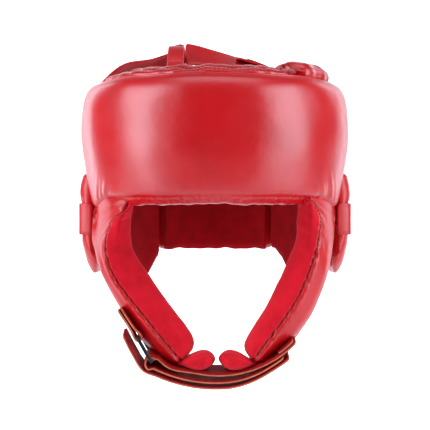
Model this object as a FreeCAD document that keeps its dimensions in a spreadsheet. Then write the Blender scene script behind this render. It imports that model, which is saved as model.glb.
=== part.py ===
"""Padded boxing headgear: every sewn and loose piece as its own solid, in millimetres.

Frame: +Z up, -Y towards the face opening, origin in the middle of the head oval at eye level.
The plan is a stadium: a front and a rear half circle round two vertical axes, joined by short
straight sides.  Each pad is three layers: leather cover, foam core and soft lining.
"""
import FreeCAD, Part
import math
import os

import Sketcher

doc = FreeCAD.newDocument("Headgear")
sheet = doc.addObject("Spreadsheet::Sheet", "Sizes")

SIZES = {
    # plan of the padded ring
    "plan_offset": 17.0,
    "head_radius": 78.0,
    "lining_skin": 2.4,
    "cover_skin": 1.5,
    "layer_gap": 0.1,
    # forehead pad section
    "forehead_bottom": 7.5,
    "forehead_top": 105.0,
    "forehead_low_radius": 90.0,
    "forehead_waist_radius": 99.0,
    "forehead_waist_height": 24.0,
    "forehead_bulge_radius": 107.5,
    "forehead_bulge_height": 76.0,
    "forehead_top_radius": 95.0,
    # side pads
    "side_radius": 107.0,
    "side_bottom": -46.0,
    "side_top": 96.0,
    "side_end_angle": 53.0,
    # back pad section
    "back_bottom": -32.0,
    "back_top": 88.0,
    "back_edge_radius": 98.0,
    "back_low_height": -18.0,
    "back_high_height": 72.0,
    "back_radius": 111.0,
    "back_sweep": 72.0,
    # ear pads
    "ear_inner_radius": 107.3,
    "ear_radius": 114.2,
    "ear_front": 8.0,
    "ear_bottom": -50.0,
    "ear_height": 86.0,
    "ear_end_angle": 30.0,
    # rear strap
    "strap_width": 26.0,
    "rear_strap_bottom": -16.5,
    "rear_strap_radius": 114.5,
    "strap_thickness": 1.8,
    "tape_thickness": 1.0,
    "fold_radius": 1.5,
    # chin strap: base arc, ring bend and return arc
    "chin_strap_front": 63.0,
    "chin_strap_width": 25.0,
    "chin_base_x": 3.0,
    "chin_base_z": -39.0,
    "chin_base_radius": 84.6,
    "chin_return_z": -10.0,
    "chin_return_radius": 118.2,
    "chin_bend_radius": 5.0,
    "chin_strap_half": 0.9,
    # metal ring
    "ring_wire_radius": 1.4,
    "ring_height": 21.0,
    "ring_half_width": 16.0,
    "ring_centre_y": -75.5,
    "tab_hole_radius": 1.9,
    "tab_outer_radius": 3.7,
    "tab_ply": 1.9,
    "tab_cheek_ply": 3.0,
    "tab_length": 26.0,
    "tab_width": 22.0,
    # crown straps
    "crown_centre_z": 3.0,
    "crown_radius": 135.0,
    "crown_strap_width": 30.0,
    "crown_long_width": 13.0,
    "crown_long_x": -31.0,
    "crown_long_radius": 144.6,
    "keeper_width": 38.0,
    "keeper_height": 11.0,
    "keeper_wall": 2.0,
    "keeper_length": 12.0,
    "keeper_angle": 13.0,
    # chin lobes
    "lobe_half_width": 9.4,
    "lobe_half_depth": 15.0,
    "lobe_half_height": 7.4,
    "lobe_height": -111.5,
    "lobe_left_x": -9.0,
    "lobe_right_x": 12.0,
    "lobe_y": -76.0,
}

# Cheek arm sections from the brow down to the chin: height, x of the outer and inner corner at the
# front edge, x of the outer and inner corner at the rear edge, and the three y positions.
CHEEK_KEYS = ("z", "front_out", "front_in", "rear_out", "rear_in", "front_out_y", "front_in_y", "rear_y")
CHEEK_SECTIONS = (
    (7.0, 87.0, 64.0, 106.0, 78.0, -81.0, -64.0, -17.4),
    (-26.0, 86.0, 63.0, 102.0, 73.0, -82.0, -64.0, -17.4),
    (-50.0, 80.0, 53.5, 93.0, 64.0, -83.0, -64.0, -17.4),
    (-70.0, 68.0, 39.0, 78.0, 51.0, -84.0, -65.0, -20.0),
    (-96.0, 50.0, 19.5, 56.0, 31.0, -86.0, -67.0, -28.0),
    (-109.0, 39.0, 18.5, 45.0, 26.0, -87.0, -69.0, -31.0),
    (-116.5, 26.0, 18.9, 30.0, 24.0, -88.0, -71.0, -34.0),
)
# The empty cheek arms hang a little to the right of the middle, more so towards the chin, and the
# chin strap pulls the front edge of the right one out.
RIGHT_LEAN = (0.0, 0.4, 1.0, 1.8, 2.6, 3.0, 3.0)
RIGHT_FRONT_LEAN = (0.0, 0.4, 1.0, 2.5, 9.5, 5.5, 4.0)
for index, section in enumerate(CHEEK_SECTIONS):
    for key, value in zip(CHEEK_KEYS, section):
        SIZES["cheek%d_%s" % (index, key)] = value

for row, (alias, value) in enumerate(SIZES.items(), start=1):
    cell = "A%d" % row
    sheet.set(cell, str(value))
    sheet.setAlias(cell, alias)
doc.recompute()

PARTS = []


def size(alias, offset=0.0, scale=1.0):
    """A sheet size as (number, expression), optionally scaled and then offset."""
    value = SIZES[alias] * scale + offset
    text = "Sizes.%s * (%r) + (%r)" % (alias, scale, offset)
    return value, text


def between(first, second, share, sign=1.0, shift=0.0):
    """A value a given share of the way from one sheet size to another, then shifted."""
    value = sign * (SIZES[first] * (1 - share) + SIZES[second] * share) + shift
    text = "(%r) * (Sizes.%s * (%r) + Sizes.%s * (%r)) + (%r)" % (
        sign, first, 1 - share, second, share, shift)
    return value, text


def flat(value):
    """A fixed number as (number, expression)."""
    return value, "%r" % value


def new_body(label):
    body = doc.addObject("PartDesign::Body", label)
    body.Label = label
    PARTS.append(body)
    return body


def new_sketch(body, name, plane, shift=None, turn=None):
    """A sketch on one of the body's origin planes, moved along or turned in that plane's frame."""
    sketch = body.newObject("Sketcher::SketchObject", body.Name + "_" + name)
    origin = [item for item in body.Origin.OriginFeatures if item.Role == plane][0]
    sketch.AttachmentSupport = [(origin, "")]
    sketch.MapMode = "FlatFace"
    if turn is not None:
        sketch.AttachmentOffset = FreeCAD.Placement(
            FreeCAD.Vector(0, 0, 0), FreeCAD.Rotation(FreeCAD.Vector(0, 1, 0), turn))
    if shift is not None:
        axis, text = shift
        sketch.setExpression(".AttachmentOffset.Base." + axis, text)
    return sketch


def bind(sketch, kind, *where_and_value):
    """Add a constraint whose size follows an expression."""
    *where, (value, text) = where_and_value
    index = sketch.addConstraint(Sketcher.Constraint(kind, *where, value))
    sketch.setExpression("Constraints[%d]" % index, text)


def outline(sketch, corners):
    """A closed straight-sided outline through corners, each corner held by two bound distances."""
    points = [FreeCAD.Vector(x[0], y[0], 0) for x, y in corners]
    count = len(points)
    for side in range(count):
        sketch.addGeometry(Part.LineSegment(points[side], points[(side + 1) % count]))
    for side in range(count):
        sketch.addConstraint(Sketcher.Constraint("Coincident", side, 2, (side + 1) % count, 1))
    for side, (x, y) in enumerate(corners):
        bind(sketch, "DistanceX", -1, 1, side, 1, x)
        bind(sketch, "DistanceY", -1, 1, side, 1, y)


def turn_feature(kind, body, sketch, sweep_text, axis="V_Axis"):
    """A section turned about its sketch's axis, half the sweep to each side."""
    feature = body.newObject("PartDesign::" + kind, "%s_%s" % (sketch.Name, kind))
    feature.Profile = sketch
    feature.ReferenceAxis = (sketch, [axis])
    feature.Midplane = True
    feature.setExpression("Angle", sweep_text)
    return feature


def revolve(body, sketch, sweep_text):
    return turn_feature("Revolution", body, sketch, sweep_text)


def groove(body, sketch, sweep_text):
    return turn_feature("Groove", body, sketch, sweep_text)


def pad(body, sketch, length_text):
    feature = body.newObject("PartDesign::Pad", sketch.Name + "_pad")
    feature.Profile = sketch
    feature.setExpression("Length", length_text)
    return feature


def polar(radius, degrees, centre=(0.0, 0.0)):
    angle = math.radians(degrees)
    return centre[0] + radius * math.cos(angle), centre[1] + radius * math.sin(angle)


def oblong(sketch, low, high):
    """A rectangular outline between two opposite corners."""
    outline(sketch, ((low[0], low[1]), (high[0], low[1]), (high[0], high[1]), (low[0], high[1])))


def band_run(body, name, axis, centre, radii, angles, span):
    """One curved run of a band: a rectangle swept round an axis parallel to Y or Z.

    centre is (x, z) for a Y axis and (x, y) for a Z axis, radii the inner and outer faces, angles
    the first and last direction in degrees and span the two edges along the axis."""
    middle = (angles[0] + angles[1]) / 2
    if axis == "Y":
        plane = "XY_Plane"
        base = FreeCAD.Vector(centre[0], 0, centre[1])
        turn = -middle
    else:
        plane = "XZ_Plane"
        base = FreeCAD.Vector(centre[0], 0, -centre[1])
        turn = middle
    sketch = new_sketch(body, name, plane)
    sketch.AttachmentOffset = FreeCAD.Placement(base, FreeCAD.Rotation(FreeCAD.Vector(0, 1, 0), turn))
    oblong(sketch, (radii[0], span[0]), (radii[1], span[1]))
    revolve(body, sketch, "%r" % abs(angles[1] - angles[0]))


def strap(label, axis, span, runs):
    """A strap made of curved runs that follow on tangentially; each run is centre, radii, angles."""
    body = new_body(label)
    for number, (centre, radii, angles) in enumerate(runs):
        band_run(body, "run%d" % number, axis, centre, radii, angles, span)
    return body


def around(radius, half):
    """The two faces of a strap whose middle lies on a radius."""
    return flat(radius - half), flat(radius + half)


# ------------------------------------------------------------------ forehead pad
FRONT_SHIFT = ("z", "Sizes.plan_offset")
REAR_SHIFT = ("z", "-Sizes.plan_offset")


def forehead_outline(sketch, inset, inner):
    """Section of the forehead pad, drawn inset from the outer surface and starting at `inner`."""
    bottom = size("forehead_bottom", inset)
    top = size("forehead_top", -inset)
    outline(sketch, (
        (inner, bottom),
        (size("forehead_low_radius"), bottom),
        (size("forehead_waist_radius", -5.0 - inset), size("forehead_bottom", 4.5)),
        (size("forehead_waist_radius", -inset), size("forehead_waist_height", -6.0)),
        (size("forehead_bulge_radius", -3.6 - inset), size("forehead_waist_height", 20.0)),
        (size("forehead_bulge_radius", -inset), size("forehead_bulge_height", -9.0)),
        (size("forehead_bulge_radius", -inset), size("forehead_bulge_height", 5.0)),
        (size("forehead_bulge_radius", -2.6 - inset), size("forehead_top", -8.0)),
        (size("forehead_top_radius", 5.5 - inset), size("forehead_top", -2.4 - inset)),
        (size("forehead_top_radius"), top),
        (inner, top),
    ))


core_inner = size("head_radius", SIZES["lining_skin"] + SIZES["layer_gap"])
core_inset = SIZES["cover_skin"] + SIZES["layer_gap"]

cover = new_body("forehead_cover")
cover_sketch = new_sketch(cover, "section", "XZ_Plane", FRONT_SHIFT, -90.0)
forehead_outline(cover_sketch, 0.0, core_inner)
revolve(cover, cover_sketch, "180")
hollow_sketch = new_sketch(cover, "hollow_section", "XZ_Plane", FRONT_SHIFT, -90.0)
forehead_outline(hollow_sketch, SIZES["cover_skin"], size("head_radius"))
groove(cover, hollow_sketch, "178.4")

foam = new_body("forehead_foam")
foam_sketch = new_sketch(foam, "section", "XZ_Plane", FRONT_SHIFT, -90.0)
forehead_outline(foam_sketch, core_inset, core_inner)
revolve(foam, foam_sketch, "178.2")


def lining_band(label, shift, turn, sweep_text, bottom, top):
    body = new_body(label)
    sketch = new_sketch(body, "section", "XZ_Plane", shift, turn)
    inner = size("head_radius")
    outer = size("head_radius", SIZES["lining_skin"])
    outline(sketch, ((inner, bottom), (outer, bottom), (outer, top), (inner, top)))
    revolve(body, sketch, sweep_text)
    return body


lining_band("forehead_lining", FRONT_SHIFT, -90.0, "180", size("forehead_bottom"), size("forehead_top"))


# ------------------------------------------------------------------ back pad
def back_outline(sketch, inset, inner):
    """Section of the back pad, drawn inset from the outer surface and starting at `inner`."""
    bottom = size("back_bottom", inset)
    top = size("back_top", -inset)
    outer = size("back_radius", -inset)
    shoulder = size("back_radius", -4.4 - inset)
    outline(sketch, (
        (inner, bottom),
        (size("back_edge_radius"), bottom),
        (shoulder, size("back_low_height", -8.0)),
        (outer, size("back_low_height")),
        (outer, size("back_high_height")),
        (shoulder, size("back_high_height", 9.0)),
        (size("back_edge_radius"), top),
        (inner, top),
    ))


back_cover = new_body("back_cover")
back_sketch = new_sketch(back_cover, "section", "XZ_Plane", REAR_SHIFT, 90.0)
back_outline(back_sketch, 0.0, core_inner)
revolve(back_cover, back_sketch, "Sizes.back_sweep")
back_hollow = new_sketch(back_cover, "hollow_section", "XZ_Plane", REAR_SHIFT, 90.0)
back_outline(back_hollow, SIZES["cover_skin"], size("head_radius"))
groove(back_cover, back_hollow, "Sizes.back_sweep - 1.6")

back_foam = new_body("back_foam")
back_core = new_sketch(back_foam, "section", "XZ_Plane", REAR_SHIFT, 90.0)
back_outline(back_core, core_inset, core_inner)
revolve(back_foam, back_core, "Sizes.back_sweep - 1.8")

lining_band("back_lining", REAR_SHIFT, 90.0, "Sizes.back_sweep", size("back_bottom"), size("back_top"))


# ------------------------------------------------------------------ side pads, ear pads
def side_band(label, sign, radii, front, end_angle, span):
    """An upright band: a straight run beside the head and then a curve round the back."""
    body = new_body(label)
    offset = size("plan_offset")
    if front is not None:
        sketch = new_sketch(body, "straight", "XY_Plane", ("z", span[0][1]))
        low, high = [(sign * value, "(%r) * (%s)" % (sign, text)) for value, text in radii]
        oblong(sketch, (low, front), (high, offset))
        pad(body, sketch, "(%s) - (%s)" % (span[1][1], span[0][1]))
    angles = (0.0, end_angle) if sign > 0 else (180.0 - end_angle, 180.0)
    band_run(body, "curve", "Z", (0.0, SIZES["plan_offset"]), radii, angles, span)
    return body


side_span = (size("side_bottom"), size("side_top"))
side_front = size("plan_offset", 0.3, -1.0)
ear_span = (size("ear_bottom"), size("ear_bottom", SIZES["ear_height"]))
ear_front = size("ear_front", 0.0, -1.0)
SIDE_LAYERS = {
    "cover": (size("side_radius", -SIZES["cover_skin"]), size("side_radius")),
    "foam": (core_inner, size("side_radius", -core_inset)),
    "lining": (size("head_radius"), size("head_radius", SIZES["lining_skin"])),
}
EAR_LAYERS = {
    "cover": (size("ear_radius", -SIZES["cover_skin"]), size("ear_radius")),
    "foam": (size("ear_inner_radius"), size("ear_radius", -core_inset)),
}
for side_name, sign in (("left", -1.0), ("right", 1.0)):
    for layer, radii in SIDE_LAYERS.items():
        side_band("side_%s_%s" % (layer, side_name), sign, radii, side_front,
                  SIZES["side_end_angle"], side_span)
    for layer, radii in EAR_LAYERS.items():
        side_band("ear_%s_%s" % (layer, side_name), sign, radii, ear_front,
                  SIZES["ear_end_angle"], ear_span)


# ------------------------------------------------------------------ cheek arms
def cheek_layer(label, sign, near, far):
    """One layer of a cheek arm, between two shares of the way through its thickness."""
    body = new_body(label)
    sketches = []
    for index in range(len(CHEEK_SECTIONS)):
        name = "cheek%d_" % index
        sketch = new_sketch(body, "level%d" % index, "XY_Plane", ("z", "Sizes." + name + "z"))
        lean = RIGHT_LEAN[index] if sign > 0 else 0.0
        front_lean = RIGHT_FRONT_LEAN[index] if sign > 0 else 0.0
        corners = []
        for share in (near, far):
            shift = front_lean * (1 - share) + lean * share
            corners.append((between(name + "front_out", name + "front_in", share, sign, shift),
                            between(name + "front_out_y", name + "front_in_y", share)))
            corners.append((between(name + "rear_out", name + "rear_in", share, sign, lean),
                            size(name + "rear_y")))
        corners = (corners[0], corners[1], corners[3], corners[2])
        outline(sketch, corners)
        sketches.append(sketch)
    loft = body.newObject("PartDesign::AdditiveLoft", body.Name + "_loft")
    loft.Profile = sketches[0]
    loft.Sections = sketches[1:]
    loft.Ruled = True
    return body


for side_name, sign in (("left", -1.0), ("right", 1.0)):
    cheek_layer("cheek_cover_" + side_name, sign, 0.0, 0.06)
    cheek_layer("cheek_foam_" + side_name, sign, 0.07, 0.90)
    cheek_layer("cheek_lining_" + side_name, sign, 0.91, 1.0)

for side_name in ("left", "right"):
    lobe = new_body("chin_lobe_" + side_name)
    ball = lobe.newObject("PartDesign::AdditiveEllipsoid", lobe.Name + "_ball")
    ball.setExpression("Radius1", "Sizes.lobe_half_height")
    ball.setExpression("Radius2", "Sizes.lobe_half_width")
    ball.setExpression("Radius3", "Sizes.lobe_half_depth")
    lobe.setExpression("Placement.Base.x", "Sizes.lobe_%s_x" % side_name)
    lobe.setExpression("Placement.Base.y", "Sizes.lobe_y")
    lobe.setExpression("Placement.Base.z", "Sizes.lobe_height")


def add_fold(body, axis, centre, span):
    """The stiff fold that a strap's free end turns on: a small roll along an axis parallel to Y or Z."""
    roll = body.newObject("PartDesign::AdditiveCylinder", body.Name + "_fold")
    roll.setExpression("Radius", "Sizes.fold_radius")
    roll.setExpression("Height", "(%s) - (%s)" % (span[1][1], span[0][1]))
    if axis == "Y":
        place = FreeCAD.Vector(centre[0], span[0][0], centre[1])
        turn = FreeCAD.Rotation(FreeCAD.Vector(1, 0, 0), -90)
    else:
        place = FreeCAD.Vector(centre[0], centre[1], span[0][0])
        turn = FreeCAD.Rotation()
    roll.AttachmentOffset = FreeCAD.Placement(place, turn)
    roll.Placement = FreeCAD.Placement(place, turn)


# ------------------------------------------------------------------ crown
def crown_flap(label, shift, turn, sweep_text, corners):
    body = new_body(label)
    sketch = new_sketch(body, "section", "XZ_Plane", shift, turn)
    outline(sketch, [(flat(x), flat(y)) for x, y in corners])
    revolve(body, sketch, sweep_text)
    return body


crown_flap("crown_front_flap", FRONT_SHIFT, -106.0, "108",
           ((90.0, 105.6), (92.0, 110.0), (61.5, 117.5), (59.5, 112.5)))
crown_flap("crown_right_roll", FRONT_SHIFT, -24.0, "42",
           ((88.0, 105.6), (91.0, 110.0), (84.0, 116.0), (64.0, 119.0), (61.0, 111.0)))
crown_flap("crown_rear_flap", REAR_SHIFT, 90.0, "110",
           ((92.0, 96.6), (94.0, 102.0), (61.5, 118.0), (59.5, 113.0)))

crown_centre = (0.0, SIZES["crown_centre_z"])
crown_radius = SIZES["crown_radius"]
half_strap = SIZES["strap_thickness"] / 2
tape = SIZES["tape_thickness"]
crown_span = (size("crown_strap_width", 0.0, -0.5), size("crown_strap_width", 0.0, 0.5))
under_radius = crown_radius - 2 * half_strap - 2 * tape - 0.9
CROWN_RUNS = {
    "crown_strap_left": (crown_radius, half_strap, (100.6, 135.9)),
    "crown_strap_end": (crown_radius, half_strap, (66.0, 99.2)),
    "crown_strap_right": (under_radius, half_strap, (46.2, 82.0)),
    "crown_loop_tape": (under_radius + half_strap + 0.1 + tape / 2, tape / 2, (64.0, 80.0)),
    "crown_hook_tape": (crown_radius - half_strap - 0.1 - tape / 2, tape / 2, (66.5, 78.0)),
}
for label, (radius, half, angles) in CROWN_RUNS.items():
    piece = strap(label, "Y", crown_span, ((crown_centre, around(radius, half), angles),))
    if label == "crown_strap_end":
        add_fold(piece, "Y", polar(radius, angles[1], crown_centre), crown_span)


def long_strap(label, angles):
    """Half of the strap that runs front to back over the crown, swept round an axis along X."""
    body = new_body(label)
    sketch = new_sketch(body, "section", "XY_Plane")
    middle = (angles[0] + angles[1]) / 2
    sketch.AttachmentOffset = FreeCAD.Placement(
        FreeCAD.Vector(0, 0, -6), FreeCAD.Rotation(FreeCAD.Vector(1, 0, 0), middle))
    low_x = size("crown_long_x", -SIZES["crown_long_width"] / 2)
    high_x = size("crown_long_x", SIZES["crown_long_width"] / 2)
    oblong(sketch, (low_x, size("crown_long_radius", -1.2)), (high_x, size("crown_long_radius", 1.2)))
    turn_feature("Revolution", body, sketch, "%r" % abs(angles[1] - angles[0]), "H_Axis")


long_strap("crown_long_front", (97.8, 119.0))
long_strap("crown_long_rear", (61.2, 82.2))

keeper = new_body("crown_keeper")
keeper_sketch = new_sketch(keeper, "frame", "YZ_Plane", ("z", "-Sizes.keeper_length / 2"))
half_width = size("keeper_width", 0.0, 0.5)
half_height = size("keeper_height", 0.0, 0.5)
minus_width = size("keeper_width", 0.0, -0.5)
minus_height = size("keeper_height", 0.0, -0.5)
oblong(keeper_sketch, (minus_width, minus_height), (half_width, half_height))
pad(keeper, keeper_sketch, "Sizes.keeper_length")
window = new_sketch(keeper, "window", "YZ_Plane", ("z", "-Sizes.keeper_length / 2 - 1"))
wall = SIZES["keeper_wall"]
oblong(window, (size("keeper_width", wall, -0.5), size("keeper_height", wall, -0.5)),
       (size("keeper_width", -wall, 0.5), size("keeper_height", -wall, 0.5)))
cut = keeper.newObject("PartDesign::Pocket", "keeper_window_cut")
cut.Profile = window
cut.Reversed = True
cut.setExpression("Length", "Sizes.keeper_length + 2")
keeper_place = polar(crown_radius, 90.0 + SIZES["keeper_angle"], crown_centre)
keeper.Placement = FreeCAD.Placement(
    FreeCAD.Vector(keeper_place[0], 0, keeper_place[1]),
    FreeCAD.Rotation(FreeCAD.Vector(0, 1, 0), -SIZES["keeper_angle"]))


# ------------------------------------------------------------------ rear strap
rear_centre = (0.0, SIZES["plan_offset"])
rear_radius = SIZES["rear_strap_radius"] + half_strap
rear_span = (size("rear_strap_bottom"), size("rear_strap_bottom", SIZES["strap_width"]))
side_band("rear_strap_left", -1.0, around(rear_radius, half_strap), ear_front, 105.0, rear_span)
side_band("rear_strap_right", 1.0, around(rear_radius, half_strap), ear_front, 16.0, rear_span)
loop_radius = rear_radius + half_strap + 0.1 + tape / 2
hook_radius = loop_radius + tape + 0.3
tail_radius = hook_radius + tape / 2 + 0.1 + half_strap
REAR_RUNS = {
    "rear_loop_tape": (loop_radius, tape / 2, (78.0, 130.0)),
    "rear_hook_tape": (hook_radius, tape / 2, (80.0, 112.0)),
    "rear_strap_tail": (tail_radius, half_strap, (14.0, 116.0)),
}
for label, (radius, half, angles) in REAR_RUNS.items():
    piece = strap(label, "Z", rear_span, ((rear_centre, around(radius, half), angles),))
    if label == "rear_strap_tail":
        add_fold(piece, "Z", polar(radius, angles[0], rear_centre), rear_span)


# ------------------------------------------------------------------ chin strap and ring
base_centre = (SIZES["chin_base_x"], SIZES["chin_base_z"])
return_centre = (0.0, SIZES["chin_return_z"])
base_radius = SIZES["chin_base_radius"]
return_radius = SIZES["chin_return_radius"]
bend_radius = SIZES["chin_bend_radius"]
chin_half = SIZES["chin_strap_half"]


def circle_meeting(first, first_radius, second, second_radius):
    """The left-hand point at the given distances from two centres."""
    across = (second[0] - first[0], second[1] - first[1])
    distance = math.hypot(*across)
    along = (first_radius ** 2 - second_radius ** 2 + distance ** 2) / (2 * distance)
    height = math.sqrt(first_radius ** 2 - along ** 2)
    unit = (across[0] / distance, across[1] / distance)
    foot = (first[0] + along * unit[0], first[1] + along * unit[1])
    options = ((foot[0] - height * unit[1], foot[1] + height * unit[0]),
               (foot[0] + height * unit[1], foot[1] - height * unit[0]))
    return min(options)


def heading(start, end):
    """Angle from one point to another, between 0 and 360 degrees."""
    return math.degrees(math.atan2(end[1] - start[1], end[0] - start[0])) % 360.0


bar = circle_meeting(base_centre, base_radius + bend_radius, return_centre, return_radius - bend_radius)
base_left = heading(base_centre, bar)
return_left = heading(return_centre, bar)
chin_span = (size("chin_strap_front", -SIZES["chin_strap_width"], -1.0),
             size("chin_strap_front", 0.0, -1.0))
strap("chin_strap", "Y", chin_span, (
    (base_centre, around(base_radius, chin_half), (base_left, 316.0)),
    (bar, around(bend_radius, chin_half), (base_left - 180.0, return_left)),
    (return_centre, around(return_radius, chin_half), (return_left, 298.0)),
))

strap("chin_strap_patch", "Y", chin_span, (
    (base_centre, (flat(base_radius - 3.2), flat(base_radius - chin_half - 0.1)), (305.0, 315.5)),
))

chin_hook_radius = return_radius + chin_half + 0.1 + tape / 2
chin_loop_radius = chin_hook_radius + tape + 0.3
chin_tail_radius = chin_loop_radius + tape / 2 + 0.1 + chin_half
for label, radius in (("chin_hook_tape", chin_hook_radius), ("chin_loop_tape", chin_loop_radius)):
    strap(label, "Y", chin_span, ((return_centre, around(radius, tape / 2), (258.0, 294.0)),))

tail_bend = chin_tail_radius - (return_radius - bend_radius)
tail_direction = 215.0
tail_straight_radius = 400.0
tail_far_centre = polar(tail_straight_radius - tail_bend, tail_direction + 180.0, bar)
chin_tail = strap("chin_tail", "Y", chin_span, (
    (return_centre, around(chin_tail_radius, chin_half), (return_left, 300.0)),
    (bar, around(tail_bend, chin_half), (tail_direction, return_left)),
    (tail_far_centre, around(tail_straight_radius, chin_half), (tail_direction - 4.8, tail_direction)),
))
add_fold(chin_tail, "Y", polar(chin_tail_radius, 300.0, return_centre), chin_span)

# The ring lies against the cheek, its lower bar in the strap's bend and its upper bar in the tab.
ring_lean = 120.0
wire = SIZES["ring_wire_radius"]
ring_height = SIZES["ring_height"]
ring_half_width = SIZES["ring_half_width"]
ring_y = SIZES["ring_centre_y"]
upper = polar(ring_height, ring_lean, bar)
slope = FreeCAD.Vector(upper[0] - bar[0], 0, upper[1] - bar[1]).normalize()
across = FreeCAD.Vector(0, 1, 0)
corner_radius = 3.0
low_middle = FreeCAD.Vector(bar[0], ring_y, bar[1])
high_middle = FreeCAD.Vector(upper[0], ring_y, upper[1])


def ring_path():
    """The ring's centre line: four bars joined by quarter turns."""
    edges = []
    corners = []
    for middle, up in ((low_middle, 1), (high_middle, -1)):
        for side in ((1, -1) if up == 1 else (-1, 1)):
            corners.append((middle + across * (side * ring_half_width), side, up))
    order = (corners[1], corners[0], corners[3], corners[2])
    stations = []
    for place, side, up in order:
        flat_point = place - across * (side * corner_radius)
        steep_point = place + slope * (up * corner_radius)
        centre = flat_point + slope * (up * corner_radius)
        middle = centre + (place - centre).normalize() * corner_radius
        stations.append((flat_point, middle, steep_point))
    first, second, third, fourth = stations
    edges.append(Part.makeLine(first[0], second[0]))
    edges.append(Part.Arc(second[0], second[1], second[2]).toShape())
    edges.append(Part.makeLine(second[2], third[2]))
    edges.append(Part.Arc(third[2], third[1], third[0]).toShape())
    edges.append(Part.makeLine(third[0], fourth[0]))
    edges.append(Part.Arc(fourth[0], fourth[1], fourth[2]).toShape())
    edges.append(Part.makeLine(fourth[2], first[2]))
    edges.append(Part.Arc(first[2], first[1], first[0]).toShape())
    return Part.Wire(edges)


ring = doc.addObject("Part::Feature", "chin_ring")
path = ring_path()
start_point = path.Edges[0].Vertexes[0].Point
section_circle = Part.Wire(Part.makeCircle(wire, start_point, across))
ring.Shape = path.makePipeShell([section_circle], True, False)
ring.Label = "chin_ring"
ring.Placement = FreeCAD.Placement()
PARTS.append(ring)

# The tab is two plies of leather sewn to the cheek with a loop at their lower end.
TAB_TILT = 126.0
TAB_SHIFT = ("z", "%r - Sizes.tab_width / 2" % (-ring_y))


def add_circle(sketch, centre, alias):
    """A circle at a fixed centre whose radius follows the sheet."""
    number = sketch.addGeometry(Part.Circle(
        FreeCAD.Vector(centre[0], centre[1], 0), FreeCAD.Vector(0, 0, 1), SIZES[alias]))
    bind(sketch, "Radius", number, size(alias))
    bind(sketch, "DistanceX", -1, 1, number, 3, flat(centre[0]))
    bind(sketch, "DistanceY", -1, 1, number, 3, flat(centre[1]))


tab = new_body("chin_ring_tab")
tab_sketch = new_sketch(tab, "edge", "XZ_Plane", TAB_SHIFT)
reach = FreeCAD.Vector(math.cos(math.radians(TAB_TILT)), math.sin(math.radians(TAB_TILT)), 0)
side_step = FreeCAD.Vector(-reach.y, reach.x, 0) * SIZES["tab_ply"]
cheek_step = FreeCAD.Vector(-reach.y, reach.x, 0) * SIZES["tab_cheek_ply"]
pivot = FreeCAD.Vector(upper[0], upper[1], 0)
tab_end = pivot + reach * SIZES["tab_length"]
outline(tab_sketch, [(flat(point.x), flat(point.y)) for point in (
    pivot - cheek_step, pivot + side_step, tab_end + side_step, tab_end - cheek_step)])
pad(tab, tab_sketch, "Sizes.tab_width")
loop_sketch = new_sketch(tab, "loop", "XZ_Plane", TAB_SHIFT)
add_circle(loop_sketch, upper, "tab_outer_radius")
pad(tab, loop_sketch, "Sizes.tab_width")
hole_sketch = new_sketch(tab, "hole", "XZ_Plane", TAB_SHIFT)
add_circle(hole_sketch, upper, "tab_hole_radius")
hole = tab.newObject("PartDesign::Pocket", "chin_ring_tab_hole_cut")
hole.Profile = hole_sketch
hole.Reversed = True
hole.setExpression("Length", "Sizes.tab_width")

doc.recompute()

# ------------------------------------------------------------------ checks and files
for item in doc.Objects:
    for word in ("Invalid", "Error"):
        if word in item.State:
            raise RuntimeError("%s is %s" % (item.Name, item.State))
os.makedirs("parts", exist_ok=True)
for item in PARTS:
    if item.Shape.isNull() or not item.Shape.isValid():
        raise RuntimeError("%s has no valid shape" % item.Label)
    box = item.Shape.BoundBox
    print("%-20s %9.1f mm3  solids %d  x %.1f..%.1f  y %.1f..%.1f  z %.1f..%.1f" % (
        item.Label, item.Shape.Volume, len(item.Shape.Solids),
        box.XMin, box.XMax, box.YMin, box.YMax, box.ZMin, box.ZMax))
    item.Shape.exportStep("parts/%s.step" % item.Label)
print("ring lower bar at x %.2f z %.2f, upper bar at x %.2f z %.2f" % (bar + upper))
tail_end = polar(chin_tail_radius, 300.0, return_centre)
print("chin tail pivot x %.2f z %.2f" % tail_end)
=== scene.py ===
# %% [markdown]
# # A padded boxing headgear, dressed piece by piece
# The CAD frame gives every piece its place and size.  Here each one gets the look it has in the
# gym: foam pads under shiny red leather, soft velour against the face, sewn straps and a steel ring.
# The frame is loaded first, with each part's transform baked in so that its box can be read.

import math

import bpy
import numpy as np
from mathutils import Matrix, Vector, noise


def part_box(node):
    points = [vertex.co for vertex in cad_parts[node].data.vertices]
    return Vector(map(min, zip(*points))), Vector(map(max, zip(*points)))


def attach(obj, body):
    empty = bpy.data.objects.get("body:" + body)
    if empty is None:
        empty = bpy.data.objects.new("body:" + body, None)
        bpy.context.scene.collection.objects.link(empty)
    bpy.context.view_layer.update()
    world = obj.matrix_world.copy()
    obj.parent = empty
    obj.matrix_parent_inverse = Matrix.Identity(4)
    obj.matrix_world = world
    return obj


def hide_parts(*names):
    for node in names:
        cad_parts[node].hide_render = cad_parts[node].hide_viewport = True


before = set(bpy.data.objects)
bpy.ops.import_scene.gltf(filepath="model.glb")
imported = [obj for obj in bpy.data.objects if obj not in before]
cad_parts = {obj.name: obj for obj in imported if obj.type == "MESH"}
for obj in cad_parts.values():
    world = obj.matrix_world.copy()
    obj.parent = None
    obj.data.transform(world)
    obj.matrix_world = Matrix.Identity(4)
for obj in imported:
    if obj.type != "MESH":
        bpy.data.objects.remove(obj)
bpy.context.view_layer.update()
MM = 0.001

# %% [markdown]
# ## Reading the plan of the headgear
# Seen from above, the padded ring is a stadium: a half circle in front, a short straight piece beside
# each ear and a half circle behind.  One function that walks round this plan lets every pad be drawn
# as a flat pattern of (distance round, height) and then wrapped, much as a maker cuts flat panels.

# %% Plan of the padded ring
def box_mm(node):
    low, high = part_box(node)
    return np.array(low) / MM, np.array(high) / MM


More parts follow.
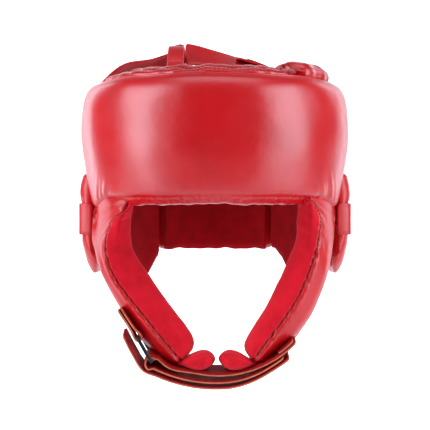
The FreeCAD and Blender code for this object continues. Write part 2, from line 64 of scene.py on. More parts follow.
forehead_low, forehead_high = box_mm("forehead_cover")
PLAN_SHIFT = -forehead_high[1]
HEAD_RADIUS = box_mm("forehead_lining")[1][0]
BULGE_RADIUS = forehead_high[0]
WALK_RADIUS = 95.0
FRONT_QUARTER = WALK_RADIUS * math.pi / 2
STRAIGHT = 2 * PLAN_SHIFT
print("half circles sit %.1f mm either side of the middle" % PLAN_SHIFT)
print("head radius %.1f mm, widest pad radius %.1f mm" % (HEAD_RADIUS, BULGE_RADIUS))


def wrap(walk, radius, height):
    """Points round the plan: walk is the distance from the middle of the brow, positive to the right."""
    walk, radius, height = np.broadcast_arrays(*[np.asarray(v, float) for v in (walk, radius, height)])
    side = np.where(walk < 0, -1.0, 1.0)
    far = np.abs(walk)
    front_turn = np.minimum(far, FRONT_QUARTER) / WALK_RADIUS
    beside = np.clip(far - FRONT_QUARTER, 0, STRAIGHT)
    rear_turn = np.maximum(far - FRONT_QUARTER - STRAIGHT, 0) / WALK_RADIUS
    turn = front_turn + rear_turn
    x = side * radius * np.sin(turn)
    y = beside - PLAN_SHIFT - radius * np.cos(turn)
    return np.stack([x, y, height], axis=-1)


# %% [markdown]
# ## Tools for sewing shapes
# Every pad is a loft: a few given sections, a smooth curve through them, and a skin over the
# lot.  That gives full control over where a seam runs, which a sculpted lump would not.

# %% Curves and skins
def spline(points, steps, closed=False):
    """A smooth curve through points on the first axis, with the same number of steps per span."""
    points = np.asarray(points, float)
    if closed:
        padded = np.concatenate([points[-1:], points, points[:2]])
    else:
        padded = np.concatenate([2 * points[:1] - points[1:2], points, 2 * points[-1:] - points[-2:-1]])
    rows = []
    for a, b, c, d in zip(padded, padded[1:], padded[2:], padded[3:]):
        for step in range(steps):
            s = step / steps
            rows.append(0.5 * (2 * b + (c - a) * s + (2 * a - 5 * b + 4 * c - d) * s ** 2
                               + (3 * b - a - 3 * c + d) * s ** 3))
    if not closed:
        rows.append(points[-1])
    return np.array(rows)


def even(points, count):
    """The same line with its points spaced evenly along it."""
    points = np.asarray(points, float)
    travel = travelled(points)
    wanted = np.linspace(0, travel[-1], count)
    return np.stack([np.interp(wanted, travel, column) for column in points.T], axis=-1)


def travelled(points):
    """The distance from the first point to each point of a line."""
    gaps = np.linalg.norm(np.diff(points, axis=0), axis=1)
    return np.concatenate([[0], np.cumsum(gaps)])


def unit(vectors):
    return vectors / (np.linalg.norm(vectors, axis=-1, keepdims=True) + 1e-9)


def smooth_step(share):
    """A share that leaves 0 and reaches 1 without a corner."""
    share = np.clip(share, 0, 1)
    return share ** 2 * (3 - 2 * share)


def grid_normals(grid):
    """Directions straight out of a skin of grid points."""
    along = np.gradient(grid, axis=0)
    across = np.roll(grid, -1, axis=1) - np.roll(grid, 1, axis=1)
    normals = unit(np.cross(along, across))
    away = grid - grid.mean(axis=1, keepdims=True)
    return normals if (away * normals).sum() > 0 else -normals


def new_object(name, points, faces, materials, picks=None):
    """A smooth-shaded mesh object from points in millimetres."""
    mesh = bpy.data.meshes.new(name)
    mesh.from_pydata((np.asarray(points) * MM).tolist(), [], faces)
    for material in materials:
        mesh.materials.append(material)
    if picks is not None:
        mesh.polygons.foreach_set("material_index", np.asarray(picks, int))
    mesh.polygons.foreach_set("use_smooth", [True] * len(mesh.polygons))
    mesh.update()
    piece = bpy.data.objects.new(name, mesh)
    bpy.context.scene.collection.objects.link(piece)
    return piece


def skin(name, grid, materials, column_pick=None):
    """A closed skin over rings of points, with its two ends filled in."""
    rows, ring = grid.shape[:2]
    faces, picks = [], []
    for row in range(rows - 1):
        for column in range(ring):
            after = (column + 1) % ring
            faces.append((row * ring + column, row * ring + after,
                          (row + 1) * ring + after, (row + 1) * ring + column))
            picks.append(column_pick[column] if column_pick is not None else 0)
    faces.append(tuple(range(ring))[::-1])
    faces.append(tuple((rows - 1) * ring + column for column in range(ring)))
    picks.extend([0, 0])
    points = grid.reshape(-1, 3)
    piece = new_object(name, points, faces, materials, picks)
    face_outward(piece)
    return piece


def face_outward(piece):
    """Flip a closed mesh whose faces point inward."""
    mesh = piece.data
    volume = 0.0
    for polygon in mesh.polygons:
        volume += polygon.area * Vector(polygon.normal).dot(polygon.center)
    if volume < 0:
        mesh.flip_normals()


def facing(name, grid, normals, rise, sink, materials):
    """A thin layer laid on part of a skin: it rises above the skin and its back sinks below it."""
    edge = np.minimum(np.arange(grid.shape[1]), np.arange(grid.shape[1])[::-1])
    lift = (sink + (rise - sink) * np.clip(edge / 2.0, 0, 1) ** 0.5)[None, :, None]
    top = grid + normals * lift
    under = grid + normals * sink - normals * 0.6
    return skin(name, np.concatenate([top, under[:, ::-1]], axis=1), materials)


def lumps(points, scale, seed):
    """Smooth seeded noise at each point, between about -1 and 1."""
    flat = np.asarray(points, float).reshape(-1, 3) / scale + seed
    values = [noise.noise(Vector(point)) for point in flat.tolist()]
    return np.array(values).reshape(np.asarray(points).shape[:-1])


def ripple(walk, lengths, seed):
    """Several seeded waves added up, for puckers that never repeat exactly."""
    dice = np.random.default_rng(int(seed))
    total = np.zeros_like(np.asarray(walk, float))
    for length in lengths:
        total += np.sin(2 * math.pi * walk / length + dice.uniform(0, 2 * math.pi))
    return total / len(lengths)


# %% [markdown]
# ## Finishes
# The leather is a polyurethane-coated hide: a fine pebble grain, tiny creases and a soft clear gloss.
# Grain and creases are bump, since they are far too small to model, and the colour wanders slightly
# so that no panel looks printed.  The velour is a short red pile, so it gets sheen and no gloss.

# %% Building blocks for materials
def blank_material(name):
    material = bpy.data.materials.new(name)
    material.use_nodes = True
    tree = material.node_tree
    return material, tree, tree.nodes["Principled BSDF"]


def add_noise(tree, kind, scale, detail=3.0):
    texture = tree.nodes.new(kind)
    texture.inputs["Scale"].default_value = scale
    if "Detail" in texture.inputs:
        texture.inputs["Detail"].default_value = detail
    place = tree.nodes.new("ShaderNodeTexCoord")
    tree.links.new(place.outputs["Object"], texture.inputs["Vector"])
    return texture


def tint(tree, shader, dark, light, scale):
    """Base colour that drifts between two close tones."""
    texture = add_noise(tree, "ShaderNodeTexNoise", scale)
    ramp = tree.nodes.new("ShaderNodeValToRGB")
    ramp.color_ramp.elements[0].position = 0.3
    ramp.color_ramp.elements[1].position = 0.7
    ramp.color_ramp.elements[0].color = (*dark, 1)
    ramp.color_ramp.elements[1].color = (*light, 1)
    tree.links.new(texture.outputs["Fac"], ramp.inputs["Fac"])
    tree.links.new(ramp.outputs["Color"], shader.inputs["Base Color"])


def worn_gloss(tree, shader, low, high, scale):
    """Roughness that varies from polished to rubbed."""
    texture = add_noise(tree, "ShaderNodeTexNoise", scale, 5.0)
    spread = tree.nodes.new("ShaderNodeMapRange")
    spread.inputs["From Min"].default_value = 0.3
    spread.inputs["From Max"].default_value = 0.7
    spread.inputs["To Min"].default_value = low
    spread.inputs["To Max"].default_value = high
    tree.links.new(texture.outputs["Fac"], spread.inputs["Value"])
    tree.links.new(spread.outputs["Result"], shader.inputs["Roughness"])


def relief(tree, shader, layers):
    """Bump from several textures, each given as (kind, scale, output, strength, height)."""
    previous = None
    for kind, scale, output, strength, height in layers:
        texture = add_noise(tree, kind, scale)
        bump = tree.nodes.new("ShaderNodeBump")
        bump.inputs["Strength"].default_value = strength
        bump.inputs["Distance"].default_value = height
        tree.links.new(texture.outputs[output], bump.inputs["Height"])
        if previous is not None:
            tree.links.new(previous.outputs["Normal"], bump.inputs["Normal"])
        previous = bump
    tree.links.new(previous.outputs["Normal"], shader.inputs["Normal"])


# %% [markdown]
# ## The finishes themselves
# The covers of the forehead, the sides, the back and the crown are the glossiest.  The ear pads, the
# cheek arms and the soft straps are the same hide but duller, so their clear coat is thinner.  The
# chin strap and the ring tab are bare hide with none, and their cut edges show pale tan.  Tapes and
# linings are pile, and the linings inside the ring are a darker copy of the velour with painted shade.
# The thread is a darker red, and the ring is black steel.

# %% Leather, velour and the small finishes
def leather(name, dark, light, gloss, coat, grain):
    material, tree, shader = blank_material(name)
    tint(tree, shader, dark, light, 22.0)
    worn_gloss(tree, shader, gloss[0], gloss[1], 60.0)
    shader.inputs["Coat Weight"].default_value = coat
    shader.inputs["Coat Roughness"].default_value = 0.30
    shader.inputs["Specular IOR Level"].default_value = 0.5 if coat else 0.2
    relief(tree, shader, (
        ("ShaderNodeTexNoise", 75.0, "Fac", 0.22, 0.0018),
        ("ShaderNodeTexVoronoi", 900.0, "Distance", grain, 0.00025),
    ))
    return material


def pile(name, dark, light, sheen):
    material, tree, shader = blank_material(name)
    tint(tree, shader, dark, light, 90.0)
    shader.inputs["Roughness"].default_value = 0.9
    shader.inputs["Specular IOR Level"].default_value = 0.15
    shader.inputs["Sheen Weight"].default_value = sheen
    shader.inputs["Sheen Roughness"].default_value = 0.45
    shader.inputs["Sheen Tint"].default_value = (1.0, 0.25, 0.28, 1)
    relief(tree, shader, (
        ("ShaderNodeTexNoise", 140.0, "Fac", 0.25, 0.0012),
        ("ShaderNodeTexNoise", 2200.0, "Fac", 0.45, 0.0003),
    ))
    return material


COVER = leather("cover_red", (0.49, 0.0022, 0.0048), (0.59, 0.0034, 0.0075), (0.28, 0.36), 0.48, 0.16)
SIDE_COVER = leather("side_red", (0.50, 0.0022, 0.0048), (0.60, 0.0034, 0.0075), (0.36, 0.46), 0.12, 0.16)
STRAP = leather("strap_red", (0.30, 0.003, 0.006), (0.42, 0.005, 0.009), (0.55, 0.68), 0.0, 0.22)
PIPING = leather("piping_red", (0.62, 0.012, 0.018), (0.72, 0.018, 0.026), (0.30, 0.38), 0.3, 0.1)
VELOUR = pile("velour_red", (0.54, 0.004, 0.013), (0.67, 0.006, 0.020), 0.35)
# painted shade: a darker copy of the velour for the linings inside the ring, standing in for the shade
# there
PAINTED_SHADE_VELOUR = pile("painted_shade_velour_red", (0.30, 0.0012, 0.004), (0.43, 0.002, 0.007), 0.12)
RED_TAPE = pile("red_loop_pile", (0.34, 0.003, 0.007), (0.46, 0.005, 0.011), 0.3)
TAPE = pile("hook_and_loop_fuzz", (0.012, 0.006, 0.007), (0.035, 0.012, 0.014), 0.5)


def cut_edge():
    material, tree, shader = blank_material("cut_hide_edge")
    tint(tree, shader, (0.42, 0.13, 0.05), (0.58, 0.22, 0.10), 160.0)
    shader.inputs["Roughness"].default_value = 0.85
    relief(tree, shader, (("ShaderNodeTexNoise", 700.0, "Fac", 0.5, 0.0004),))
    return material


def thread():
    material, tree, shader = blank_material("waxed_thread")
    tint(tree, shader, (0.26, 0.005, 0.008), (0.40, 0.009, 0.013), 400.0)
    shader.inputs["Roughness"].default_value = 0.5
    relief(tree, shader, (("ShaderNodeTexWave", 900.0, "Fac", 0.4, 0.0002),))
    return material


def steel():
    material, tree, shader = blank_material("black_steel")
    tint(tree, shader, (0.008, 0.008, 0.009), (0.020, 0.019, 0.020), 120.0)
    worn_gloss(tree, shader, 0.25, 0.42, 200.0)
    shader.inputs["Metallic"].default_value = 0.6
    relief(tree, shader, (("ShaderNodeTexNoise", 900.0, "Fac", 0.15, 0.0002),))
    return material


EDGE = cut_edge()
THREAD = thread()
STEEL = steel()
print("materials:", sorted(m.name for m in bpy.data.materials))

# %% [markdown]
# ## Putting a piece in its place
# Each finished piece rides on a body of the frame and hides the CAD nodes it stands for.  It is also
# given a finish name and, for the firm foam pads, a fill, which place does not use.

# %% Placing pieces
PAD_FILL = 0.8


def place(piece, body, finish, nodes=(), fill=None):
    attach(piece, body)
    if nodes:
        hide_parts(*nodes)
    return piece


STITCH_SIDES = 6
STITCH_PROFILE = ((-0.5, 0.35), (-0.32, 1.0), (0.32, 1.0), (0.5, 0.35))


def stitches(name, line, out, body="headgear", gap=3.2, length=2.1, thick=0.34, finish="cover_leather"):
    """A row of thread stitches along a line of points, each one a small pill lying on the surface."""
    count = max(int(travelled(line)[-1] / gap), 2)
    centres = even(line, count + 1)
    lifts = unit(even(out, count + 1))
    heads = unit(np.gradient(centres, axis=0))
    points, faces = [], []
    for centre, lift, head in zip(centres, lifts, heads):
        side = unit(np.cross(head, lift))
        start = len(points)
        for share, width in STITCH_PROFILE:
            for spoke in range(STITCH_SIDES):
                angle = spoke * 2 * math.pi / STITCH_SIDES
                ring = side * math.cos(angle) + lift * math.sin(angle)
                points.append(centre + head * share * length + ring * thick * width)
        last = start + (len(STITCH_PROFILE) - 1) * STITCH_SIDES
        for base in range(start, last, STITCH_SIDES):
            for spoke in range(STITCH_SIDES):
                after = (spoke + 1) % STITCH_SIDES
                further = base + STITCH_SIDES
                faces.append((base + spoke, base + after, further + after, further + spoke))
        faces.append(tuple(range(start, start + STITCH_SIDES))[::-1])
        faces.append(tuple(range(last, last + STITCH_SIDES)))
    piece = new_object(name, points, faces, [THREAD])
    return place(piece, body, finish)


def cord_of_piping(name, line, radius, material):
    """Thin round piping sewn into a seam."""
    line = np.asarray(line, float)
    heads = unit(np.gradient(line, axis=0))
    first = unit(np.cross(heads, (0, 0, 1)))
    second = unit(np.cross(heads, first))
    turns = np.linspace(0, 2 * math.pi, 9)[:-1]
    grid = np.stack([line + radius * (first * math.cos(a) + second * math.sin(a)) for a in turns], axis=1)
    return skin(name, grid, [material])


# %% [markdown]
# ## The forehead pad
# The pad is one long foam section wrapped from temple to temple.  The leather is pulled over its
# lower edge and gathered into the brow seam, so the face of the pad bulges and then tucks under with
# small puckers.  The section is drawn once and the puckers are added where the leather is gathered.

# %% Forehead pad
BROW_SEAM = forehead_low[2] + 2.0
PAD_TOP = forehead_high[2]
FACE_FROM_TOP = ((-14, 0.6), (-8.5, -0.2), (-3.8, -3.4), (-0.6, -9), (1.4, -17), (2.2, -28), (2.2, -40),
                 (1.4, -51), (-0.4, -62))
FACE_FROM_SEAM = ((-3.0, 22), (-5.6, 12), (-7.8, 6.5), (-11.6, 3.0), (-14.4, 1.2), (-18.5, -1.2),
                  (-23.5, -1.0))
FOREHEAD_SECTION = (
    [(HEAD_RADIUS + 3, PAD_TOP - 2.0), (HEAD_RADIUS + 8, PAD_TOP - 0.2)]
    + [(BULGE_RADIUS + out, PAD_TOP + up) for out, up in FACE_FROM_TOP]
    + [(BULGE_RADIUS + out, BROW_SEAM + up) for out, up in FACE_FROM_SEAM]
    + [(HEAD_RADIUS + 1.6, BROW_SEAM + 4), (HEAD_RADIUS + 1, BROW_SEAM + 30)]
    + [(HEAD_RADIUS + 1, PAD_TOP - 30), (HEAD_RADIUS + 1.2, PAD_TOP - 8)]
)
SECTION_STEPS = 5


def band_grid(section, walks, end_round=6.0):
    """A pad section carried round the plan, with its two ends rounded off."""
    ring = spline(section, SECTION_STEPS, closed=True)
    middle_radius = (ring[:, 0].max() + ring[:, 0].min()) / 2
    middle_height = (ring[:, 1].max() + ring[:, 1].min()) / 2
    reach = np.minimum(walks - walks[0], walks[-1] - walks)
    near = np.clip(1 - reach / end_round, 0, 1)
    keep = np.sqrt(np.clip(1 - near ** 2, 0.02, 1))[:, None]
    radius = middle_radius + (ring[None, :, 0] - middle_radius) * keep
    inset = (1 - keep) * end_round
    height = ring[None, :, 1] - np.sign(ring[None, :, 1] - middle_height) * inset
    return radius, height


def gather(radius, height, walks, seam, depth, fade, seed, lengths):
    """Puckers that pull the leather in towards a seam line and fade out above it."""
    away = np.abs(height - seam)
    slant = walks[:, None] + 0.35 * (height - seam)
    wave = ripple(slant, lengths, seed)
    return radius - depth * np.clip(wave, -0.25, 1) * np.exp(-(away / fade) ** 1.3)


TEMPLE = FRONT_QUARTER + 9.0
CORNER_WALK, CORNER_SPAN = 104, 17.0
DROOP_START, DROOP_SPAN, DROOP = 94, 34, 9.0
forehead_walks = np.linspace(-TEMPLE, TEMPLE, 300)
radius, height = band_grid(FOREHEAD_SECTION, forehead_walks)
brow_wave = ripple(forehead_walks, (34.0, 51.0, 23.0, 12.0), 3)[:, None]
height = height + 0.8 * brow_wave * np.exp(-np.clip(height - BROW_SEAM, 0, None) / 6)
radius = gather(radius, height, forehead_walks, BROW_SEAM, 1.5, 4.2, 5, (4.5, 7.0, 11.0))
corner = np.exp(-((np.abs(forehead_walks) - CORNER_WALK) / CORNER_SPAN) ** 2)[:, None]
crease_walk = forehead_walks[:, None] + 0.9 * np.sign(forehead_walks)[:, None] * (height - BROW_SEAM)
creases = np.clip(ripple(crease_walk, (9.0, 14.0, 23.0), 6), -0.4, 1)
radius = radius - 2.4 * corner * creases * np.exp(-((height - BROW_SEAM) / 15.0) ** 2)
fold_turn = np.exp(-((height - BROW_SEAM - 4.0) / 1.6) ** 2) * (radius > BULGE_RADIUS - 15)
radius = radius - 0.9 * fold_turn
droop_share = np.clip((np.abs(forehead_walks) - DROOP_START) / DROOP_SPAN, 0, 1)[:, None]
temple_droop = DROOP * droop_share ** 1.4
height = height - temple_droop * np.clip(1 - (height - BROW_SEAM) / 38, 0, 1)
forehead_grid = wrap(forehead_walks[:, None], radius, height)
swell = lumps(forehead_grid, 34.0, 11.0) * 0.9
forehead_out = grid_normals(forehead_grid)
forehead_grid = forehead_grid + forehead_out * swell[..., None]
forehead_pad = skin("forehead_pad", forehead_grid, [COVER])
place(forehead_pad, "headgear", "cover_leather", ("forehead_cover", "forehead_foam"), PAD_FILL)
print("forehead pad vertices:", len(forehead_pad.data.vertices))

# %% [markdown]
# Its lining is a separate velour panel on the head side, in a darker velour with painted shade, and the top
# seam is finished with piping.

# %% Forehead lining and piping
def inner_lining(name, walks, low, high, node, seed=7):
    """A velour panel on the head side of a pad, in a darker velour with painted shade; low and high may
    vary along the walk.
    """
    shares = np.linspace(0, 1, 30)[None, :]
    low, high = (np.broadcast_to(v, walks.shape)[:, None] for v in (low, high))
    height = low + (high - low) * shares
    edge = np.minimum(shares, 1 - shares) * (high - low)
    radii = HEAD_RADIUS + 1.8 - 1.8 * np.clip(edge / 4.0, 0, 1) ** 0.6
    grid = wrap(walks[:, None], radii, height)
    wrinkle = lumps(grid, 15.0, seed) * 0.5
    grid = wrap(walks[:, None], radii + wrinkle, height)
    back = wrap(walks[:, None], HEAD_RADIUS + 2.2, height)
    # painted shade: the panel takes the darker velour, for the shade inside the ring
    piece = skin(name, np.concatenate([grid, back[:, ::-1]], axis=1), [PAINTED_SHADE_VELOUR])
    return place(piece, "headgear", "lining_velour", (node,))


lining_walks = np.linspace(1 - TEMPLE, TEMPLE - 1, 180)
inner_lining("forehead_velour", lining_walks, BROW_SEAM + 1.0, PAD_TOP - 1.5, "forehead_lining")
PIPING_COLUMN = 2 * SECTION_STEPS + 2
piping_line = forehead_grid[3:-3, PIPING_COLUMN] + forehead_out[3:-3, PIPING_COLUMN] * 0.2
place(cord_of_piping("forehead_piping", piping_line, 0.9, PIPING), "headgear", "cover_leather")

# %% [markdown]
# ## Side pads and the back pad
# Behind the temples the ring carries on as thinner pads that reach down beside the ears and round the
# back of the head.  They are plain foam panels with rounded edges, lined inside; only the lower edge
# is shaped, because it is cut up towards the nape.

# %% Side and back pads
side_low, side_high = box_mm("side_cover_right")
back_low, back_high = box_mm("back_cover")
SIDE_START = TEMPLE - 1.0
SIDE_END = FRONT_QUARTER + STRAIGHT + math.radians(52.5) * WALK_RADIUS
BACK_REACH = math.radians(36) * WALK_RADIUS
WHOLE_HALF = FRONT_QUARTER * 2 + STRAIGHT
PANEL_FACE = ((0.0, 0.25), (0.02, 0.62), (0.06, 0.86), (0.14, 0.97), (0.3, 1.0), (0.5, 1.02),
              (0.7, 1.0), (0.86, 0.97), (0.94, 0.86), (0.98, 0.62), (1.0, 0.25))
PANEL_BACK = tuple((share, 0.0) for share in (0.98, 0.9, 0.7, 0.5, 0.3, 0.1, 0.02))
PANEL_SEAT = HEAD_RADIUS + 1.2
CORNER_ROUND = 7.0


def panel_grid(walks, low, high, outer):
    """A flat pad with rounded edges and a soft middle; low may change along the walk."""
    low = np.broadcast_to(low, walks.shape)[:, None]
    high = np.broadcast_to(high, walks.shape)[:, None]
    ring = spline(PANEL_FACE + PANEL_BACK, SECTION_STEPS, closed=True)
    reach = np.minimum(walks - walks[0], walks[-1] - walks)
    keep = np.sqrt(np.clip(1 - np.clip(1 - reach / CORNER_ROUND, 0, 1) ** 2, 0.03, 1))[:, None]
    radius = PANEL_SEAT + (outer - PANEL_SEAT) * (ring[None, :, 1] * keep + 0.5 * (1 - keep))
    height = low + (high - low) * ring[None, :, 0]
    height = height - np.sign(ring[None, :, 0] - 0.5) * (1 - keep) * CORNER_ROUND * 0.8
    return radius, height


for side_name, side in (("left", -1.0), ("right", 1.0)):
    walks = np.linspace(SIDE_START, SIDE_END, 130)
    nape = np.clip((walks - SIDE_END + 34 + 6.0 * side) / 34, 0, 1)
    dip = np.clip(1 - np.abs(nape - 0.35) / 0.35, 0, 1)
    cut_up = np.clip((nape - 0.35) / 0.65, 0, 1) ** 1.2
    low_edge = side_low[2] - 7.0 * dip + 16.0 * cut_up
    radius, height = panel_grid(walks, low_edge, side_high[2] - 0.5, side_high[0] - 0.2)
    grid = wrap(side * walks[:, None], radius, height)
    grid = grid + grid_normals(grid) * (lumps(grid, 24.0, 21.0) * 0.8)[..., None]
    pad_piece = skin("side_pad_" + side_name, grid, [COVER])
    nodes = ("side_cover_" + side_name, "side_foam_" + side_name)
    place(pad_piece, "headgear", "cover_leather", nodes, PAD_FILL)
    inner_lining("side_velour_" + side_name, side * walks[3:-3], low_edge[3:-3] + 0.2, side_high[2] - 4.0,
                 "side_lining_" + side_name, seed=9 + side)

back_walks = WHOLE_HALF + np.linspace(-BACK_REACH, BACK_REACH, 120)
nape_edge = back_low[2] + 1.6 + 0.9 * ripple(back_walks, (17.0, 26.0, 41.0), 8)
radius, height = panel_grid(back_walks, nape_edge, back_high[2], back_high[1] - PLAN_SHIFT)
back_grid = wrap(back_walks[:, None], radius, height)
back_grid = back_grid + grid_normals(back_grid) * (lumps(back_grid, 26.0, 31.0) * 0.9)[..., None]
back_pad = skin("back_pad", back_grid, [COVER])
place(back_pad, "headgear", "cover_leather", ("back_cover", "back_foam"), PAD_FILL)
inner_lining("back_velour", back_walks[3:-3], nape_edge[3:-3] - 0.4, back_high[2] - 4.0, "back_lining",
             seed=13)
print("side pads %.0f mm round, back pad %.0f mm round" % (SIDE_END - SIDE_START, 2 * BACK_REACH))

# %% [markdown]
# ## The ear pads
# A second, puffier pad is sewn over each ear: full above, pinched in by the strap band that crosses
# it, and tapering to a rounded tongue below.  Drawing the pinch into the section makes the pad swell
# either side of the band, which is what tells the eye that it is stuffed.

# %% Ear pads
ear_low, ear_high = box_mm("ear_cover_right")
strap_low, strap_high = box_mm("rear_strap_right")
EAR_START = FRONT_QUARTER + PLAN_SHIFT - 20.0
EAR_END = FRONT_QUARTER + STRAIGHT + math.radians(30) * WALK_RADIUS
EAR_INNER = side_high[0] - 7.0
EAR_OUTER = ear_high[0]
EAR_SLOPE = 4.2
EAR_TOP, EAR_BOTTOM = ear_high[2], ear_low[2]
BAND_TOP, BAND_BOTTOM = strap_high[2], strap_low[2]
UNDER_BAND = ((-1.2, 6), (-0.8, -0.5), (-0.8, -6), (-2.4, -15), (-4.8, -24))
EAR_SECTION = (
    [(EAR_INNER + 0.5, EAR_TOP - 1.0)]
    + [(EAR_OUTER + out, EAR_TOP + up) for out, up in ((-3.2, -2.0), (-0.4, -7), (1.2, -15))]
    + [(EAR_OUTER + out, BAND_TOP + up) for out, up in ((0.8, 5), (-0.6, 0.5), (-1.2, -6))]
    + [(EAR_OUTER + out, BAND_BOTTOM + up) for out, up in UNDER_BAND]
    + [(EAR_OUTER - 8.0, EAR_BOTTOM + 3), (EAR_OUTER - 11.5, EAR_BOTTOM + 0.5)]
    + [(EAR_INNER - 0.5, EAR_BOTTOM + 7), (EAR_INNER, EAR_BOTTOM + 26)]
    + [(EAR_INNER, BAND_TOP), (EAR_INNER, EAR_TOP - 9)]
)
for side_name, side in (("left", -1.0), ("right", 1.0)):
    walks = np.linspace(EAR_START, EAR_END, 110)
    radius, height = band_grid(EAR_SECTION, walks, end_round=8.0)
    across = np.linspace(-1, 1, len(walks))[:, None]
    tongue = np.clip((BAND_BOTTOM - height) / (BAND_BOTTOM - EAR_BOTTOM), 0, 1)
    height = height + 15.0 * tongue * np.abs(across) ** 2.6
    radius = radius - EAR_SLOPE * np.clip(-across, 0, 1)
    radius = gather(radius, height, walks, BAND_TOP, 1.3, 7.0, 40 + side, (7.0, 11.0, 17.0))
    radius = gather(radius, height, walks, BAND_BOTTOM, 1.1, 7.0, 42 + side, (7.0, 10.0, 16.0))
    grid = wrap(side * walks[:, None], radius, height)
    grid = grid + grid_normals(grid) * (lumps(grid, 16.0, 51.0) * 0.6)[..., None]
    pad_piece = skin("ear_pad_" + side_name, grid, [SIDE_COVER])
    nodes = ("ear_cover_" + side_name, "ear_foam_" + side_name)
    place(pad_piece, "headgear", "cover_leather", nodes, PAD_FILL)
print("ear pads stand out to %.1f mm" % EAR_OUTER)

# %% [markdown]
# ## The cheek arms
# Each arm is a boomerang-shaped pad hanging from the brow and curving in to the chin.  Its leather
# face and its velour face meet in a seam along the front edge.  The arm is drawn as four rails seen
# from the front (outer edge, seam, lining edge and back), and a rounded section is run along them.
# The two arms are drawn separately since an empty headgear hangs a little askew.

# %% Rails of the cheek arms
CHEEK_FRONT = box_mm("cheek_cover_left")[0][1]
CHEEK_BACK = box_mm("cheek_foam_left")[1][1]
ARM_RAILS = {
    "left": {
        "outer": ((-94, 15), (-98.6, 5), (-99.6, -6), (-99.6, -17), (-96.2, -31), (-90.0, -47),
                  (-82.2, -62.6), (-74.0, -75.5), (-66.2, -86.6), (-58.5, -98), (-49.0, -108.0),
                  (-38.0, -116.5), (-28.0, -121.0)),
        "seam": ((-66, 15), (-66.5, 7), (-77, -1), (-82.5, -10), (-84.8, -22), (-83.2, -33),
                 (-77, -48), (-67.5, -61.5), (-56.5, -75), (-44.5, -90), (-32.2, -104.6), (-25.0, -114)),
        "edge": ((-64, 15), (-66, 4), (-67.6, -9), (-67.3, -22.5), (-62.4, -34.5), (-54, -46.6),
                 (-46.8, -57.3), (-37.1, -70.7), (-28.3, -82.0), (-21.3, -91.3), (-17.6, -99.5),
                 (-17.0, -107)),
    },
    "right": {
        "outer": ((94, 15), (98.0, 5), (97.4, -6), (94.6, -21), (92.2, -36), (88.6, -51), (83.8, -63.5),
                  (78.0, -76), (71.4, -87), (63.4, -98), (51, -108), (34.0, -119.5)),
        "seam": ((70, 15), (78, 8), (81.9, -3), (80.4, -15), (78, -27), (73.6, -40), (67.2, -56.5),
                 (59.2, -71), (50.0, -84), (41.4, -95.5), (33.7, -105.6), (28.0, -114)),
        "edge": ((67, 15), (66.7, 5), (65.8, -8), (65.0, -19.5), (60.2, -32.5), (54.6, -46.3), (47.0, -62),
                 (39.2, -76), (31.8, -88), (26.4, -96.5), (23.3, -103), (22.6, -108)),
    },
}
STATIONS = 14
RING_STEPS = 7
BROW_COVERS = 0.42
FADE_SPAN = 0.34
TUCK_RADIUS = BULGE_RADIUS - 10.5
LEAST_ROUND = 60.0


def under_the_brow(rows):
    """Lay the top of an arm back onto the round of the forehead, so that it tucks in below the brow."""
    share = np.linspace(0, 1, len(rows))[:, None]
    fade = smooth_step((BROW_COVERS - share) / FADE_SPAN)
    face = -PLAN_SHIFT - np.sqrt(np.clip(TUCK_RADIUS ** 2 - rows[..., 0] ** 2, LEAST_ROUND, None))
    rows[..., 1] += fade * np.clip(face - rows[..., 1], 0, None)
    return rows


def arm_grid(rails):
    """Rounded sections run along the three rails of an arm, as rows of rings."""
    outer, seam, edge = (even(spline(rails[key], 12), STATIONS) for key in ("outer", "seam", "edge"))
    share = np.linspace(0, 1, STATIONS)
    front = CHEEK_FRONT + 4.5 - 4.0 * share
    rear = CHEEK_BACK - 15.0 * share ** 1.5

    def at(flat, depth):
        return np.stack([flat[:, 0], np.broadcast_to(depth, share.shape), flat[:, 1]], axis=-1)

    out = unit(outer - edge)
    tuck = np.clip(1 - share / 0.16, 0, 1) ** 1.3
    flare = out * (-1.5 + 2.5 * np.exp(-((share - 0.2) / 0.1) ** 2))[:, None]
    sections = np.stack([
        at(seam * 0.55 + outer * 0.45 - out * (0.5 + 2.0 * tuck[:, None]), front + 4.5 + 8.0 * tuck),
        at(seam * 0.22 + outer * 0.78, front + 12.5 + 12.0 * tuck),
        at(outer, -52 - 6 * share + 12.0 * tuck),
        at(outer + flare, rear - 12),
        at(outer + flare - out * 4.5, rear - 1.0),
        at(outer * 0.5 + edge * 0.5 + out * 6, rear + 1.0),
        at(edge + out * 11.0, rear - 2.0),
        at(edge + out * 5.0, rear - 14),
        at(edge + out * 0.5, -52 - 6 * share),
        at(edge, -64 - 5 * share),
        at(edge * 0.6 + seam * 0.4, front + 9.0 - 2 * share),
        at(seam - unit(seam - edge) * 3.2, front + 2.2),
        at(seam, front + 1.6 + 3.0 * tuck),
        at(seam + unit(outer - seam) * 3.4, front + 1.2 + 4.0 * tuck),
    ], axis=1)
    ring = spline(np.swapaxes(sections, 0, 1), RING_STEPS, closed=True)
    rows = spline(np.swapaxes(ring, 0, 1), 11)
    return under_the_brow(rows)


